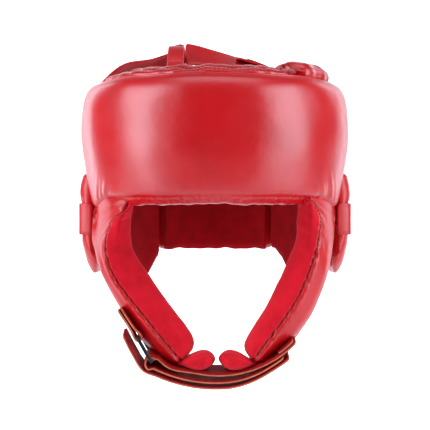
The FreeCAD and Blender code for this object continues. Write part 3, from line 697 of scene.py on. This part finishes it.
SEAM_COLUMN = 12 * RING_STEPS
LINING_START = 7 * RING_STEPS
arm_rows = {}
for side_name, side in (("left", -1.0), ("right", 1.0)):
    grid = arm_grid(ARM_RAILS[side_name])
    normals = grid_normals(grid)
    rows, ring = grid.shape[:2]
    travel = travelled(grid[:, SEAM_COLUMN])
    columns = np.arange(ring)[None, :]
    from_seam = np.minimum(np.abs(columns - SEAM_COLUMN), ring - np.abs(columns - SEAM_COLUMN)) / RING_STEPS
    pinch = np.exp(-(from_seam / 0.22) ** 2) * 0.9
    slanted = travel[:, None] - 4.0 * (columns - SEAM_COLUMN) / RING_STEPS
    puckers = ripple(slanted, (6.5, 9.0, 14.0), 60 + side) * np.exp(-(from_seam / 1.2) ** 2) * 0.55
    lining_side = (columns < SEAM_COLUMN) & (columns > LINING_START)
    top_share = np.exp(-(travel[:, None] / 45.0) ** 2)
    folds = ripple(slanted, (10.0, 15.0), 70 + side) * (0.35 + top_share) * np.where(lining_side, 1, 0.35)
    folds = folds * np.exp(-(from_seam / 3.0) ** 2) * 0.6
    swell = lumps(grid, 22.0, 81.0) * 0.7
    grid = grid + normals * (swell + puckers + folds - pinch)[..., None]
    tip = np.linspace(0, 1, rows)[:, None, None]
    closing = np.sqrt(np.clip(1 - np.clip((tip - 0.95) / 0.052, 0, 1) ** 2, 0.02, 1))
    grid = grid.mean(axis=1, keepdims=True) * (1 - closing) + grid * closing
    normals = grid_normals(grid)
    arm_rows[side_name] = (grid, normals)
    arm = skin("cheek_arm_" + side_name, grid, [SIDE_COVER])
    nodes = ("cheek_cover_" + side_name, "cheek_foam_" + side_name)
    place(arm, "headgear", "cover_leather", nodes, PAD_FILL)
    face = slice(LINING_START, SEAM_COLUMN - 1)
    lining = facing("cheek_velour_" + side_name, grid[:-3, face], normals[:-3, face], 0.9, -0.5, [VELOUR])
    place(lining, "headgear", "lining_velour", ("cheek_lining_" + side_name,))
    beside = SEAM_COLUMN + 2
    stitches("cheek_stitches_" + side_name, grid[4:-8, beside] + normals[4:-8, beside] * 0.1,
             normals[4:-8, beside], gap=3.0, length=1.9, thick=0.42)
    print("cheek arm %s: %.0f mm along its seam" % (side_name, travel[-1]))

# %% [markdown]
# ## The chin lobes
# The tips of the arms end in two small stuffed lobes that meet under the chin.  The lining is drawn
# over them and gathered into the tip seam, which leaves a fan of creases, so each lobe is an egg with
# ridges running to its ends.

# %% Chin lobes
def lobe_grid(node, side, seed):
    """A stuffed leaf: pointed where it is sewn to the arm, round where the two lobes meet."""
    low, high = box_mm(node)
    centre, half = (low + high) / 2, (high - low) / 2
    inner_x = high[0] if side < 0 else low[0]
    outer_x = centre[0] + side * (half[0] + 11.0)
    share = np.linspace(0, 1, 60)[:, None]
    turns = np.linspace(0, 2 * math.pi, 81)[:-1][None, :]
    swell = np.clip(np.sin(math.pi * share ** 1.55), 0, 1) ** 0.62 + 0.02
    creases = ripple(turns * 10 + share * 4, (6.3, 9.0, 12.6), seed) * (1 - share) ** 0.6
    fat = swell * (1 + 0.10 * creases)
    x = np.broadcast_to(outer_x + (inner_x - outer_x) * share, fat.shape)
    y = centre[1] - 3.0 * (1 - share) + half[1] * fat * np.cos(turns)
    z = centre[2] - 3.4 * (1 - share) ** 1.3 + half[2] * 1.02 * fat * np.sin(turns)
    return np.stack([x, y, z], axis=-1)


for side_name, side, seed in (("left", -1, 91), ("right", 1, 94)):
    grid = lobe_grid("chin_lobe_" + side_name, side, seed)
    grid = grid + grid_normals(grid) * (lumps(grid, 7.0, seed) * 0.4)[..., None]
    lobe = skin("chin_lobe_puff_" + side_name, grid, [VELOUR])
    place(lobe, "headgear", "lining_velour", ("chin_lobe_" + side_name,), PAD_FILL)
print("chin lobes %.0f mm wide" % (box_mm("chin_lobe_right")[1][0] - box_mm("chin_lobe_left")[0][0]))

# %% [markdown]
# ## Straps
# A strap is a strip of hide folded or cut to width, so what gives it away is its edge: a thin tan
# line where the hide is cut.  Each strap is a rounded strip run along a line, with the cut edges in
# their own finish and a row of stitches near both sides.

# %% Strap maker
SOFT_HIDE = (SIDE_COVER, SIDE_COVER)
EDGE_SPOKES = 5
FLAT_SPOKES = 9
EDGE_BOW = 0.6


def strap_ring(thick):
    """A strap's cross-section as (share of the flat half, extra across, out), and which sides are cut."""
    rows, cut = [], []
    rise = thick / 2
    for direction in (1, -1):
        for share in np.linspace(-1, 1, FLAT_SPOKES):
            rows.append((direction * share, 0.0, direction * -rise))
            cut.append(0)
        for share in np.linspace(-1, 1, EDGE_SPOKES + 2)[1:-1]:
            bow = rise * EDGE_BOW * math.sqrt(max(1 - share ** 2, 0))
            rows.append((direction, direction * bow, direction * share * rise))
            cut.append(1 if -0.5 < share < 0.4 else 0)
    return np.array(rows), cut


def make_strap(name, line, across, width, thick, ends=3.0, hide=None):
    """A strap along a line of points.  across is its width direction; hide is (face, edge) finish."""
    line = np.asarray(line, float)
    across = np.broadcast_to(unit(np.asarray(across, float)), line.shape)
    heads = unit(np.gradient(line, axis=0))
    lifts = unit(np.cross(across, heads))
    width = np.broadcast_to(width, len(line))
    outline, cut = strap_ring(thick)
    travel = travelled(line)
    reach = np.minimum(travel, travel[-1] - travel)
    corner = np.sqrt(np.clip(1 - np.clip(1 - reach / ends, 0, 1) ** 2, 0, 1))
    half = width / 2 - ends * (1 - corner) - thick / 2 * EDGE_BOW
    side = outline[None, :, 0] * half[:, None] + outline[None, :, 1]
    grid = line[:, None] + across[:, None] * side[..., None] + lifts[:, None] * outline[None, :, 2, None]
    return skin(name, grid, list(hide or (STRAP, EDGE)), cut), lifts


def outward_lifts(lifts, outward):
    """The same directions, turned to the side that outward points to."""
    return lifts if (lifts * outward).sum() > 0 else -lifts


def strap_stitches(name, line, across, width, lifts, thick, body="headgear", inset=3.2, both=True):
    """Rows of stitches beside the edges of a strap, on its outer face or on both faces."""
    across = np.broadcast_to(unit(np.asarray(across, float)), line.shape)
    for label, edge in (("a", -1), ("b", 1)):
        for face, direction in (("out", 1), ("in", -1)):
            if face == "in" and not both:
                continue
            row = line + across * (edge * (width / 2 - inset)) + lifts * direction * (thick / 2 - 0.05)
            stitches("%s_%s_%s" % (name, label, face), row[2:-2], (lifts * direction)[2:-2], body,
                     finish="strap_leather", thick=0.24, length=2.0)


def arc(centre, radius, first, last, count):
    """Points on a circle as (across, up) pairs, from one direction in degrees to another."""
    turns = np.radians(np.linspace(first, last, count))
    return np.stack([centre[0] + radius * np.cos(turns), centre[1] + radius * np.sin(turns)], axis=-1)


def lift_to(pairs, y):
    return np.stack([pairs[:, 0], np.full(len(pairs), y), pairs[:, 1]], axis=-1)


def direction_span(node, centre, axes=(0, 2)):
    """The first and last direction, in degrees, of a curved CAD strap seen from its centre."""
    points = np.array([v.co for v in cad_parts[node].data.vertices]) / MM
    turns = np.degrees(np.arctan2(points[:, axes[1]] - centre[1], points[:, axes[0]] - centre[0])) % 360
    return turns.min(), turns.max()


def circle_of(node, axes=(0, 2)):
    """Centre and middle radius of a curved CAD strap, from the circle that fits its corners best."""
    points = np.array([v.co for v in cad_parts[node].data.vertices]) / MM
    u, v = points[:, axes[0]], points[:, axes[1]]
    terms = np.stack([2 * u, 2 * v, np.ones_like(u)], axis=-1)
    a, b, c = np.linalg.lstsq(terms, u ** 2 + v ** 2, rcond=None)[0]
    centre = (a, b)
    reach = np.hypot(u - a, v - b)
    return centre, (reach.min() + reach.max()) / 2


# %% [markdown]
# ## The crown
# The open top is closed by flaps that rise from the pads, and by straps that cross over it.  The
# flaps are quilted: rows of stitching leave soft ridges.  The cross strap is not stretched by a
# head, so it tips over: it shows its underside on the left and its face on the right.

# %% Crown flaps
FRONT_FLAP = ((88, 103.0), (93.0, 104.5), (94.4, 107.2), (92.8, 109.6), (89.6, 110.8), (85.6, 111.2),
              (81.6, 113.2), (76.8, 114.6), (71.6, 114.6), (67.0, 115.8), (62.5, 115.0), (62.0, 112.0),
              (68.0, 109.6), (76.0, 107.6), (83.0, 104.6))
RIGHT_ROLL = ((86, 103.0), (92.0, 105.5), (94.6, 110.0), (93.0, 115.0), (88.6, 118.6), (82.0, 120.2),
              (76.0, 120.6), (69.0, 120.0), (63.0, 117.6), (61.5, 114.0), (66.0, 110.0), (74.0, 107.0),
              (81.0, 104.0))
REAR_FLAP = ((93, 93.0), (97.0, 95.5), (96.0, 100.5), (89.0, 106.5), (80.5, 110.0), (71.0, 114.0),
             (64.0, 116.0), (61.0, 114.0), (64.5, 110.8), (76.0, 106.5), (87.0, 98.5))
FLAP_SHIFT = forehead_high[2] - 105.0


def crown_flap(name, section, node, first, last, seed, ridge):
    """A quilted flap over part of the crown, between two directions in degrees from the brow."""
    walks = np.radians(np.linspace(first, last, 150)) * WALK_RADIUS
    section = np.array(section) + (0, FLAP_SHIFT)
    radius, height = band_grid(section, walks, end_round=7.0)
    grid = wrap(walks[:, None], radius, height)
    normals = grid_normals(grid)
    wave = ripple(walks, (13.0, 19.0, 31.0), seed)[:, None]
    quilt = np.cos(2 * math.pi * walks / ridge)[:, None]
    grid = grid + normals * (0.5 * wave + 0.35 * quilt + lumps(grid, 12.0, seed) * 0.8)[..., None]
    piece = skin(name, grid, [COVER])
    place(piece, "headgear", "cover_leather", (node,), PAD_FILL)
    return grid, grid_normals(grid)


FLAPS = (
    ("front", "crown_flap_front", FRONT_FLAP, "crown_front_flap", (-71, 39), 15, 40.0, (13, 27, 37)),
    ("roll", "crown_roll_right", RIGHT_ROLL, "crown_right_roll", (45, 80), 16, 22.0, (14, 30)),
    ("rear", "crown_flap_rear", REAR_FLAP, "crown_rear_flap", (158.0, 270.0), 17, 38.0, (12, 26)),
)
made = [crown_flap(name, section, node, *span, seed, ridge)
        for label, name, section, node, span, seed, ridge, columns in FLAPS]
for (label, *rest, columns), (flap, out) in zip(FLAPS, made):
    for number, column in enumerate(columns):
        stitches("%s_flap_stitches_%d" % (label, number), flap[5:-5, column] + out[5:-5, column] * 0.1,
                 out[5:-5, column])

# %% [markdown]
# ## The straps over the crown
# The cross strap is made in three pieces: a left half, an end that closes over it with tape, and a
# shorter piece on the right that they rest on.  The frame holds each as part of a circle, so the
# circle is measured from the CAD piece and the strip is run along it, tipped about its own line.

# %% Crown straps
cross_circle = circle_of("crown_strap_left")
cross_centre, cross_radius = cross_circle
under_circle = circle_of("crown_strap_right")
strap_span = box_mm("crown_strap_left")
CROSS_WIDTH = strap_span[1][1] - strap_span[0][1]
STRAP_THICK = 1.8
SAG_STEPS = 23
TAPE_THICK = 1.0
print("cross strap %.0f mm wide on a circle of %.1f mm" % (CROSS_WIDTH, cross_radius))


def tipped(count, first, last):
    """Width directions for a strap along X that tips over, from one angle in degrees to another."""
    tips = np.radians(np.linspace(first, last, count))
    return np.stack([np.zeros(count), np.cos(tips), np.sin(tips)], axis=-1)


def crown_piece(name, node, circle, body, tips, width, span, drops):
    """A slack strap on the CAD's circle; drops are how far it sinks at four places along it."""
    sag = spline(np.array(drops, float)[:, None], SAG_STEPS)[:, 0]
    count = len(sag)
    pairs = arc(*circle, *span, count)
    line = lift_to(pairs, 0.0) - np.outer(sag, (0, 0, 1))
    across = tipped(count, *tips)
    piece, lifts = make_strap(name, line, across, width, STRAP_THICK, hide=SOFT_HIDE)
    place(piece, body, "strap_leather", (node,))
    strap_stitches(name + "_stitches", line, across, width, lifts, STRAP_THICK, body, both=False)
    return line, across, lifts


CROSS_FOOT = 139.5
left_span = (direction_span("crown_strap_left", cross_centre)[0], CROSS_FOOT)
end_first, end_last = direction_span("crown_strap_end", cross_centre)
right_span = direction_span("crown_strap_right", under_circle[0])
crown_piece("crown_cross_left", "crown_strap_left", cross_circle, "headgear", (-12.0, -42.0), CROSS_WIDTH,
            left_span, (1.0, 4.5, -2.0, -1.0))
end_strap = crown_piece("crown_cross_end", "crown_strap_end", cross_circle, "crown_tail", (4.0, 44.0),
                        CROSS_WIDTH, (end_first, end_last + 1.0), (0.0, 4.0, 4.3, 0.0))
right_strap = crown_piece("crown_cross_right", "crown_strap_right", under_circle, "headgear", (3.0, 5.0),
                          CROSS_WIDTH - 2, right_span, (0.0, 3.5, 3.5, 0.0))


def fuzzy_tape(name, node, line, across, width, body, seed, finish=TAPE):
    """Hook-and-loop tape: a strip whose pile stands up unevenly."""
    piece, _ = make_strap(name, line, across, width, TAPE_THICK, ends=1.0)
    mesh = piece.data
    points = np.array([v.co for v in mesh.vertices]) / MM
    rough = lumps(points, 1.3, seed)[:, None] * 0.12
    points = points + np.array([v.normal for v in mesh.vertices]) * rough
    mesh.vertices.foreach_set("co", (points * MM).ravel())
    mesh.materials.clear()
    mesh.materials.append(finish)
    mesh.polygons.foreach_set("material_index", [0] * len(mesh.polygons))
    return place(piece, body, "hook_and_loop", (node,))


TAPE_SEAT = (STRAP_THICK + TAPE_THICK) / 2
for node, body, strap, seat in (("crown_loop_tape", "headgear", right_strap, TAPE_SEAT),
                                ("crown_hook_tape", "crown_tail", end_strap, -TAPE_SEAT)):
    line, across, lifts = strap
    first, last = direction_span(node, cross_centre)
    facing_to = np.degrees(np.arctan2(line[:, 2] - cross_centre[1], line[:, 0] - cross_centre[0]))
    under = (facing_to > first + 1) & (facing_to < last - 2)
    fuzzy_tape(node + "_pile", node, even(line[under] + lifts[under] * seat, 60), across[under][0],
               CROSS_WIDTH - 8, body, 3.0, RED_TAPE)

# %% [markdown]
# ## From the brow to the nape, and the keeper
# A narrower strap runs from the top of the forehead to the back.  The keeper is the small loop that
# holds the crossing straps together, so it is one strip whose line closes on itself round both.

# %% Strap from brow to nape, and the keeper
long_low, long_high = box_mm("crown_long_front")
LONG_X = (long_low[0] + long_high[0]) / 2
LONG_WIDTH = long_high[0] - long_low[0]
long_centre, long_radius = circle_of("crown_long_front", (1, 2))
LONG_THICK = 2.4
for label, foot in (("front", (-80.0, 112.5)), ("rear", (78.0, 112.0))):
    node = "crown_long_" + label
    first, last = direction_span(node, long_centre, (1, 2))
    pairs = arc(long_centre, long_radius, first, last, 30)
    if label == "rear":
        pairs = pairs[::-1]
    pairs = np.concatenate([pairs, [(pairs[-1] + foot) / 2 + (0, 1.5)], [foot]])
    line = np.stack([np.full(len(pairs), LONG_X), pairs[:, 0], pairs[:, 1]], axis=-1)
    line = even(spline(line, 4), 60)
    piece, lifts = make_strap(node + "_band", line, (1, 0, 0), LONG_WIDTH, LONG_THICK, hide=SOFT_HIDE)
    place(piece, "headgear", "strap_leather", (node,))
    zigzag = line + lifts * 1.3 + np.outer(np.tile([-1, 1], 30), (LONG_WIDTH * 0.3, 0, 0))
    stitches(node + "_zigzag", zigzag[2:-2], lifts[2:-2], finish="strap_leather", gap=2.6,
             length=2.3, thick=0.36)

keeper_low, keeper_high = box_mm("crown_keeper")
keeper_middle = (keeper_low + keeper_high) / 2
KEEPER_TILT = math.degrees(math.atan2(-keeper_middle[0], keeper_middle[2] - cross_centre[1]))
KEEPER_LENGTH = 12.0
tangent = np.array((math.cos(math.radians(KEEPER_TILT)), 0, math.sin(math.radians(KEEPER_TILT))))
raised = np.array((-tangent[2], 0, tangent[0]))
half_wide, half_tall, corner = (keeper_high[1] - keeper_low[1]) / 2 - 1.0, 4.6, 2.6
outline = []
for corner_y, corner_r, start in ((1, 1, 0), (-1, 1, 90), (-1, -1, 180), (1, -1, 270)):
    for turn in np.radians(np.linspace(start, start + 90, 7)):
        outline.append((corner_y * (half_wide - corner) + corner * math.cos(turn),
                        corner_r * (half_tall - corner) + corner * math.sin(turn)))
outline = np.roll(np.array(outline), 3, axis=0)
outline = even(np.concatenate([outline, outline[:1]]), 90)
loop = keeper_middle + np.outer(outline[:, 1], raised) + np.outer(outline[:, 0], (0, 1, 0))
away = unit(np.stack([0 * outline[:, 0], outline[:, 0] / half_wide, outline[:, 1] / half_tall], axis=-1))
piece, lifts = make_strap("keeper_loop", loop, tangent, KEEPER_LENGTH, 2.0, ends=0.05, hide=SOFT_HIDE)
place(piece, "headgear", "strap_leather", ("crown_keeper",))
lifts = outward_lifts(lifts, loop - keeper_middle)
zigzag = loop + lifts * 1.25 + np.outer(np.tile([-1, 1], 45), tangent * KEEPER_LENGTH * 0.3)
stitches("keeper_zigzag", zigzag[2:-2], lifts[2:-2], finish="strap_leather", gap=2.6, length=2.8, thick=0.6)
print("keeper leans %.1f degrees" % KEEPER_TILT)

# %% [markdown]
# ## The rear strap
# One strap comes from each ear pad and the two close behind the head with hook-and-loop tape.  They
# follow the same plan as the pads, a few millimetres further out.

# %% Rear straps
REAR_HEIGHT = (BAND_BOTTOM + BAND_TOP) / 2
REAR_WIDTH = BAND_TOP - BAND_BOTTOM
EAR_RADIUS = strap_high[0] - STRAP_THICK / 2
REAR_CORNER = FRONT_QUARTER + STRAIGHT


def rear_walk(degrees):
    return REAR_CORNER + np.radians(degrees) * WALK_RADIUS


left_walks = np.linspace(EAR_START - 1.6, rear_walk(104), 260)
right_walks = np.linspace(EAR_START - 1.6, rear_walk(15.6), 170)


def tucked(walks):
    """The strap's front end turns in over the front edge of the ear pad."""
    share = (walks - EAR_START) / (EAR_END - EAR_START)
    slope = EAR_SLOPE * np.clip(1 - 2 * share, 0, 1)
    return EAR_RADIUS - slope - 11.0 * np.clip(1 - (walks - walks[0]) / 7.0, 0, 1) ** 2.6


left_line = wrap(-left_walks, tucked(left_walks), REAR_HEIGHT)
right_line = wrap(right_walks, tucked(right_walks), REAR_HEIGHT)
tail_radius = circle_of("rear_hook_tape", (0, 1))[1] + TAPE_THICK / 2 + 0.1 + STRAP_THICK / 2
tail_line = wrap(rear_walk(np.linspace(14, 116, 150)), tail_radius, REAR_HEIGHT)
for name, node, line, body in (("rear_band_left", "rear_strap_left", left_line, "headgear"),
                               ("rear_band_right", "rear_strap_right", right_line, "headgear"),
                               ("rear_band_tail", "rear_strap_tail", tail_line, "rear_tail")):
    sag = 0.7 * ripple(np.arange(len(line)), (61.0, 97.0), 25)
    line = line + np.outer(sag, (0, 0, 0.5))
    piece, lifts = make_strap(name, line, (0, 0, 1), REAR_WIDTH, STRAP_THICK, hide=SOFT_HIDE)
    place(piece, body, "strap_leather", (node,))
    lifts = outward_lifts(lifts, line * (1, 1, 0))
    strap_stitches(name + "_stitches", line, (0, 0, 1), REAR_WIDTH, lifts, STRAP_THICK, body, 2.2,
                   both=False)
for node, body in (("rear_loop_tape", "headgear"), ("rear_hook_tape", "rear_tail")):
    centre, radius = circle_of(node, (0, 1))
    first, last = direction_span(node, centre, (0, 1))
    line = wrap(rear_walk(np.linspace(first, last, 90)), radius, REAR_HEIGHT)
    fuzzy_tape(node + "_pile", node, line, (0, 0, 1), REAR_WIDTH - 4, body, 5.0, RED_TAPE)
print("rear strap %.0f mm wide, tail %.0f mm long" % (REAR_WIDTH, np.radians(102) * tail_radius))

# %% [markdown]
# ## Chin strap, ring and tab
# The chin strap starts at the right cheek, passes under the lobes and round the lower bar of a steel
# ring, then doubles back to the right.  A last layer closes over it with hook-and-loop tape and
# leaves a free tail on the left.  The three layers fan out in the middle and come together again in
# the fold on the right, so each is drawn from its own circle and eased into the next at that end.
# Near the ring the first layer slumps out a little, so the layers lie together there too.

# %% Chin strap
strap_box = box_mm("chin_strap")
CHIN_Y = (strap_box[0][1] + strap_box[1][1]) / 2
CHIN_WIDTH = strap_box[1][1] - strap_box[0][1]
return_centre, hook_radius = circle_of("chin_hook_tape")
return_radius = hook_radius - TAPE_THICK / 2 - 0.1 - STRAP_THICK / 2
base_centre = (3.0, -39.0)
LAYER_GAP = 6.6
LOWEST = strap_box[0][2] + 1.6
base_radius = base_centre[1] - LOWEST - LAYER_GAP
patch_radius = base_radius - 2.1
ring_low, ring_high = box_mm("chin_ring")
WIRE = 1.4
BEND = 5.0
bar = np.array((ring_high[0] - WIRE, ring_low[2] + WIRE))
print("chin strap %.0f mm wide, base circle %.1f mm, return circle %.1f mm" % (
    CHIN_WIDTH, base_radius, return_radius))


def seen_from(centre, point):
    return math.degrees(math.atan2(point[1] - centre[1], point[0] - centre[0])) % 360


def eased(pairs, offset, first=8.0, last=54.0):
    """Ease the right-hand part of a layer onto the base circle, a few millimetres outside it."""
    share = smooth_step((pairs[:, 0] - first) / (last - first))[:, None]
    target = np.array(base_centre) + unit(pairs - base_centre) * (base_radius + offset)
    return pairs * (1 - share) + target * share


base_left = seen_from(base_centre, bar)
return_left = seen_from(return_centre, bar)
base_run = arc(base_centre, base_radius, 316.0, base_left + 1.5, 110)
slump = 3.2 * np.exp(-((base_run[:, 0] - bar[0] - 15.0) / 11.0) ** 2)
base_run = base_run + unit(base_run - base_centre) * slump[:, None]
bend_run = arc(bar, BEND, base_left - 178.0, return_left - 2.0, 26)
return_run = eased(arc(return_centre, return_radius - 1.6, return_left + 1.5, 300.0, 110), 3.0)
chin_pairs = even(np.concatenate([base_run, bend_run, return_run]), 300)
chin_line = lift_to(chin_pairs, CHIN_Y)
CHIN_TIP = np.array((0.0, math.cos(math.radians(11)), math.sin(math.radians(11))))
piece, lifts = make_strap("chin_band", chin_line, CHIN_TIP, CHIN_WIDTH, STRAP_THICK)
place(piece, "headgear", "strap_leather", ("chin_strap",))
strap_stitches("chin_band_stitches", chin_line, CHIN_TIP, CHIN_WIDTH, lifts, STRAP_THICK)

tail_low, tail_high = box_mm("chin_tail")
tail_out = return_radius + 2.6
tail_run = eased(arc(return_centre, tail_out, 302.0, return_left + 4.0, 120), 6.0)
tip = np.array((tail_low[0] + 4.6, tail_high[2] - 2.0))
elbow = bar + unit(np.array((-1.0, -0.72))) * (BEND + 3.2)
free_run = spline([tail_run[-1], elbow, tip * 0.45 + elbow * 0.55 + (-0.6, -0.4), tip], 12)[1:]
tail_pairs = even(np.concatenate([tail_run, free_run]), 240)
tail_line = lift_to(tail_pairs, CHIN_Y)
piece, lifts = make_strap("chin_tail_band", tail_line, CHIN_TIP, CHIN_WIDTH, STRAP_THICK)
place(piece, "chin_tail", "strap_leather", ("chin_tail",))
strap_stitches("chin_tail_stitches", tail_line, CHIN_TIP, CHIN_WIDTH, lifts, STRAP_THICK, "chin_tail")
print("chin strap %.0f mm long, tail layer %.0f mm" % (travelled(chin_line)[-1], travelled(tail_line)[-1]))

# %% [markdown]
# ## Closing the chin strap
# A patch stiffens the first layer, and the tail closes on it with a pair of tapes: hooks below and
# loops above.  The steel ring keeps its CAD shape, which is already right for bent wire, and only
# takes the finish.  The tab is a folded strip round its upper bar, sewn flat to the lobe.

# %% Chin patch, tapes, ring and tab
first, last = direction_span("chin_strap_patch", base_centre)
print("the patch covers %.0f to %.0f degrees of the base circle" % (first, last))
patch_line = lift_to(arc(base_centre, patch_radius + 0.2, first, last, 20), CHIN_Y)
piece, lifts = make_strap("chin_patch", patch_line, CHIN_TIP, CHIN_WIDTH - 2, 1.8)
place(piece, "headgear", "strap_leather", ("chin_strap_patch",))
hook_run = eased(arc(return_centre, return_radius - 0.1, 258, 291, 80), 4.4)
loop_run = eased(arc(return_centre, tail_out - 1.5, 258, 291, 80), 4.7)
tapes = (("chin_hook", hook_run, "headgear", 7.0), ("chin_loop", loop_run, "chin_tail", 8.0))
for name, run, body, seed in tapes:
    fuzzy_tape(name + "_pile", name + "_tape", lift_to(run, CHIN_Y), CHIN_TIP, CHIN_WIDTH - 3, body, seed)

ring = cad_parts["chin_ring"]
ring.data.materials.clear()
ring.data.materials.append(STEEL)
for polygon in ring.data.polygons:
    polygon.use_smooth = True

tab_low, tab_high = box_mm("chin_ring_tab")
TAB_Y = (tab_low[1] + tab_high[1]) / 2
TAB_WIDTH = tab_high[1] - tab_low[1]
top_bar = np.array((ring_low[0] + WIRE + 0.2, ring_high[2] - WIRE - 0.2))
tab_top = np.array((tab_low[0] + 2.6, tab_high[2] - 1.0))
reach = unit(tab_top - top_bar)
beside = np.array((-reach[1], reach[0]))
tab_pairs = np.concatenate([
    [tab_top + beside * 1.5, top_bar + reach * 9 + beside * 1.6, top_bar + reach * 3 + beside * 2.4],
    [top_bar + beside * 2.66 * math.cos(a) - reach * 2.6 * math.sin(a) for a in np.linspace(0.3, 2.85, 7)],
    [top_bar + reach * 3 - beside * 2.4, top_bar + reach * 9 - beside * 1.2, tab_top - beside * 1.2],
])
tab_line = lift_to(even(spline(tab_pairs, 8), 90), TAB_Y)
piece, lifts = make_strap("ring_tab_loop", tab_line, (0, 1, 0), TAB_WIDTH, 1.7)
place(piece, "headgear", "strap_leather", ("chin_ring_tab",))
strap_stitches("ring_tab_stitches", tab_line[:32], (0, 1, 0), TAB_WIDTH, lifts[:32], 1.7, inset=2.4)

# %% [markdown]
# ## Light, floor and camera
# Shiny leather is drawn by what it reflects, so two tall soft boxes stand well to the sides of the
# camera and leave broad upright highlights on the forehead, and two weaker ones behind trace the
# edges.  A low fill from above opens the crown.  The floor is a pale sweep that curves up out of
# sight, and a sheet of lit paper stands in front of its curve so the ground behind is even.

# %% Studio
def soft_box(name, azimuth, distance, height, size, power):
    """A soft light at an azimuth from the camera side, aimed at the middle of the headgear."""
    light = bpy.data.lights.new(name, "AREA")
    light.shape = "RECTANGLE"
    light.size, light.size_y = size
    light.energy = power
    light.color = (0.88, 0.95, 1.07)
    lamp = bpy.data.objects.new(name, light)
    bpy.context.scene.collection.objects.link(lamp)
    turn = math.radians(azimuth)
    lamp.location = (distance * math.sin(turn), -distance * math.cos(turn), height)
    aim = Vector((0, 0, 0)) - lamp.location
    lamp.rotation_euler = aim.to_track_quat("-Z", "Y").to_euler()
    return lamp


soft_box("soft_box_left", -64, 1.5, 0.35, (0.85, 1.7), 29)
soft_box("soft_box_right", 64, 1.5, 0.35, (0.85, 1.7), 26)
soft_box("rim_left", -135, 1.4, 0.30, (0.4, 1.4), 5)
soft_box("rim_right", 135, 1.4, 0.30, (0.4, 1.4), 4)
soft_box("top_fill", 0, 0.5, 1.6, (1.6, 1.0), 10)

world = bpy.data.worlds.new("studio_air")
world.use_nodes = True
world.node_tree.nodes["Background"].inputs["Color"].default_value = (1, 1, 1, 1)
world.node_tree.nodes["Background"].inputs["Strength"].default_value = 0.10
bpy.context.scene.world = world

FLOOR_DROP = -0.5
SWEEP_HALF = 4.0
sweep_line = spline([(-1.0, FLOOR_DROP), (0.9, FLOOR_DROP), (1.9, FLOOR_DROP), (2.3, FLOOR_DROP + 0.35),
                     (2.45, FLOOR_DROP + 0.9), (2.5, 3.0)], 8)
sweep = np.stack([np.insert(sweep_line, 0, x, axis=1) for x in (-SWEEP_HALF, SWEEP_HALF)], axis=1) / MM
sweep_faces = [(2 * i, 2 * i + 1, 2 * i + 3, 2 * i + 2) for i in range(len(sweep_line) - 1)]


def paper_material(name, glow):
    material, tree, shader = blank_material(name)
    tint(tree, shader, (0.93, 0.93, 0.93), (0.96, 0.96, 0.96), 3.0)
    shader.inputs["Roughness"].default_value = 0.9
    shader.inputs["Emission Color"].default_value = (1, 1, 1, 1)
    shader.inputs["Emission Strength"].default_value = glow
    return material


paper = paper_material("backdrop_paper", 0.0)
floor_sweep = new_object("floor_sweep", sweep.reshape(-1, 3), sweep_faces, [paper])
PANEL_HALF = 0.86
PANEL_POSTS = 9
PANEL_AWAY = 1.74
posts = np.linspace(-PANEL_HALF, PANEL_HALF, PANEL_POSTS)
panel = np.array([(x, PANEL_AWAY + 0.03 * abs(x), z) for z in (-0.78, 0.92) for x in posts])
panel_faces = [(i, i + 1, i + 1 + PANEL_POSTS, i + PANEL_POSTS) for i in range(PANEL_POSTS - 1)]
backdrop = new_object("lit_backdrop", panel / MM, panel_faces, [paper_material("lit_paper", 1.0)])

# %% [markdown]
# ## Camera
# The camera stands level with the middle of the headgear, one metre in front of the face.  The
# Standard view keeps the reds as they are set: a filmic view would wash out the highlights.

# %% Camera
CAMERA_DISTANCE = 1.0
camera_data = bpy.data.cameras.new("front_camera")
camera_data.lens = 99.6
camera_data.sensor_width = 36.0
camera = bpy.data.objects.new("front_camera", camera_data)
bpy.context.scene.collection.objects.link(camera)
camera.location = (0.0, -CAMERA_DISTANCE, 0.0)
camera.rotation_euler = (math.pi / 2, 0.0, 0.0)
bpy.context.scene.camera = camera
bpy.context.scene.view_settings.view_transform = "Standard"
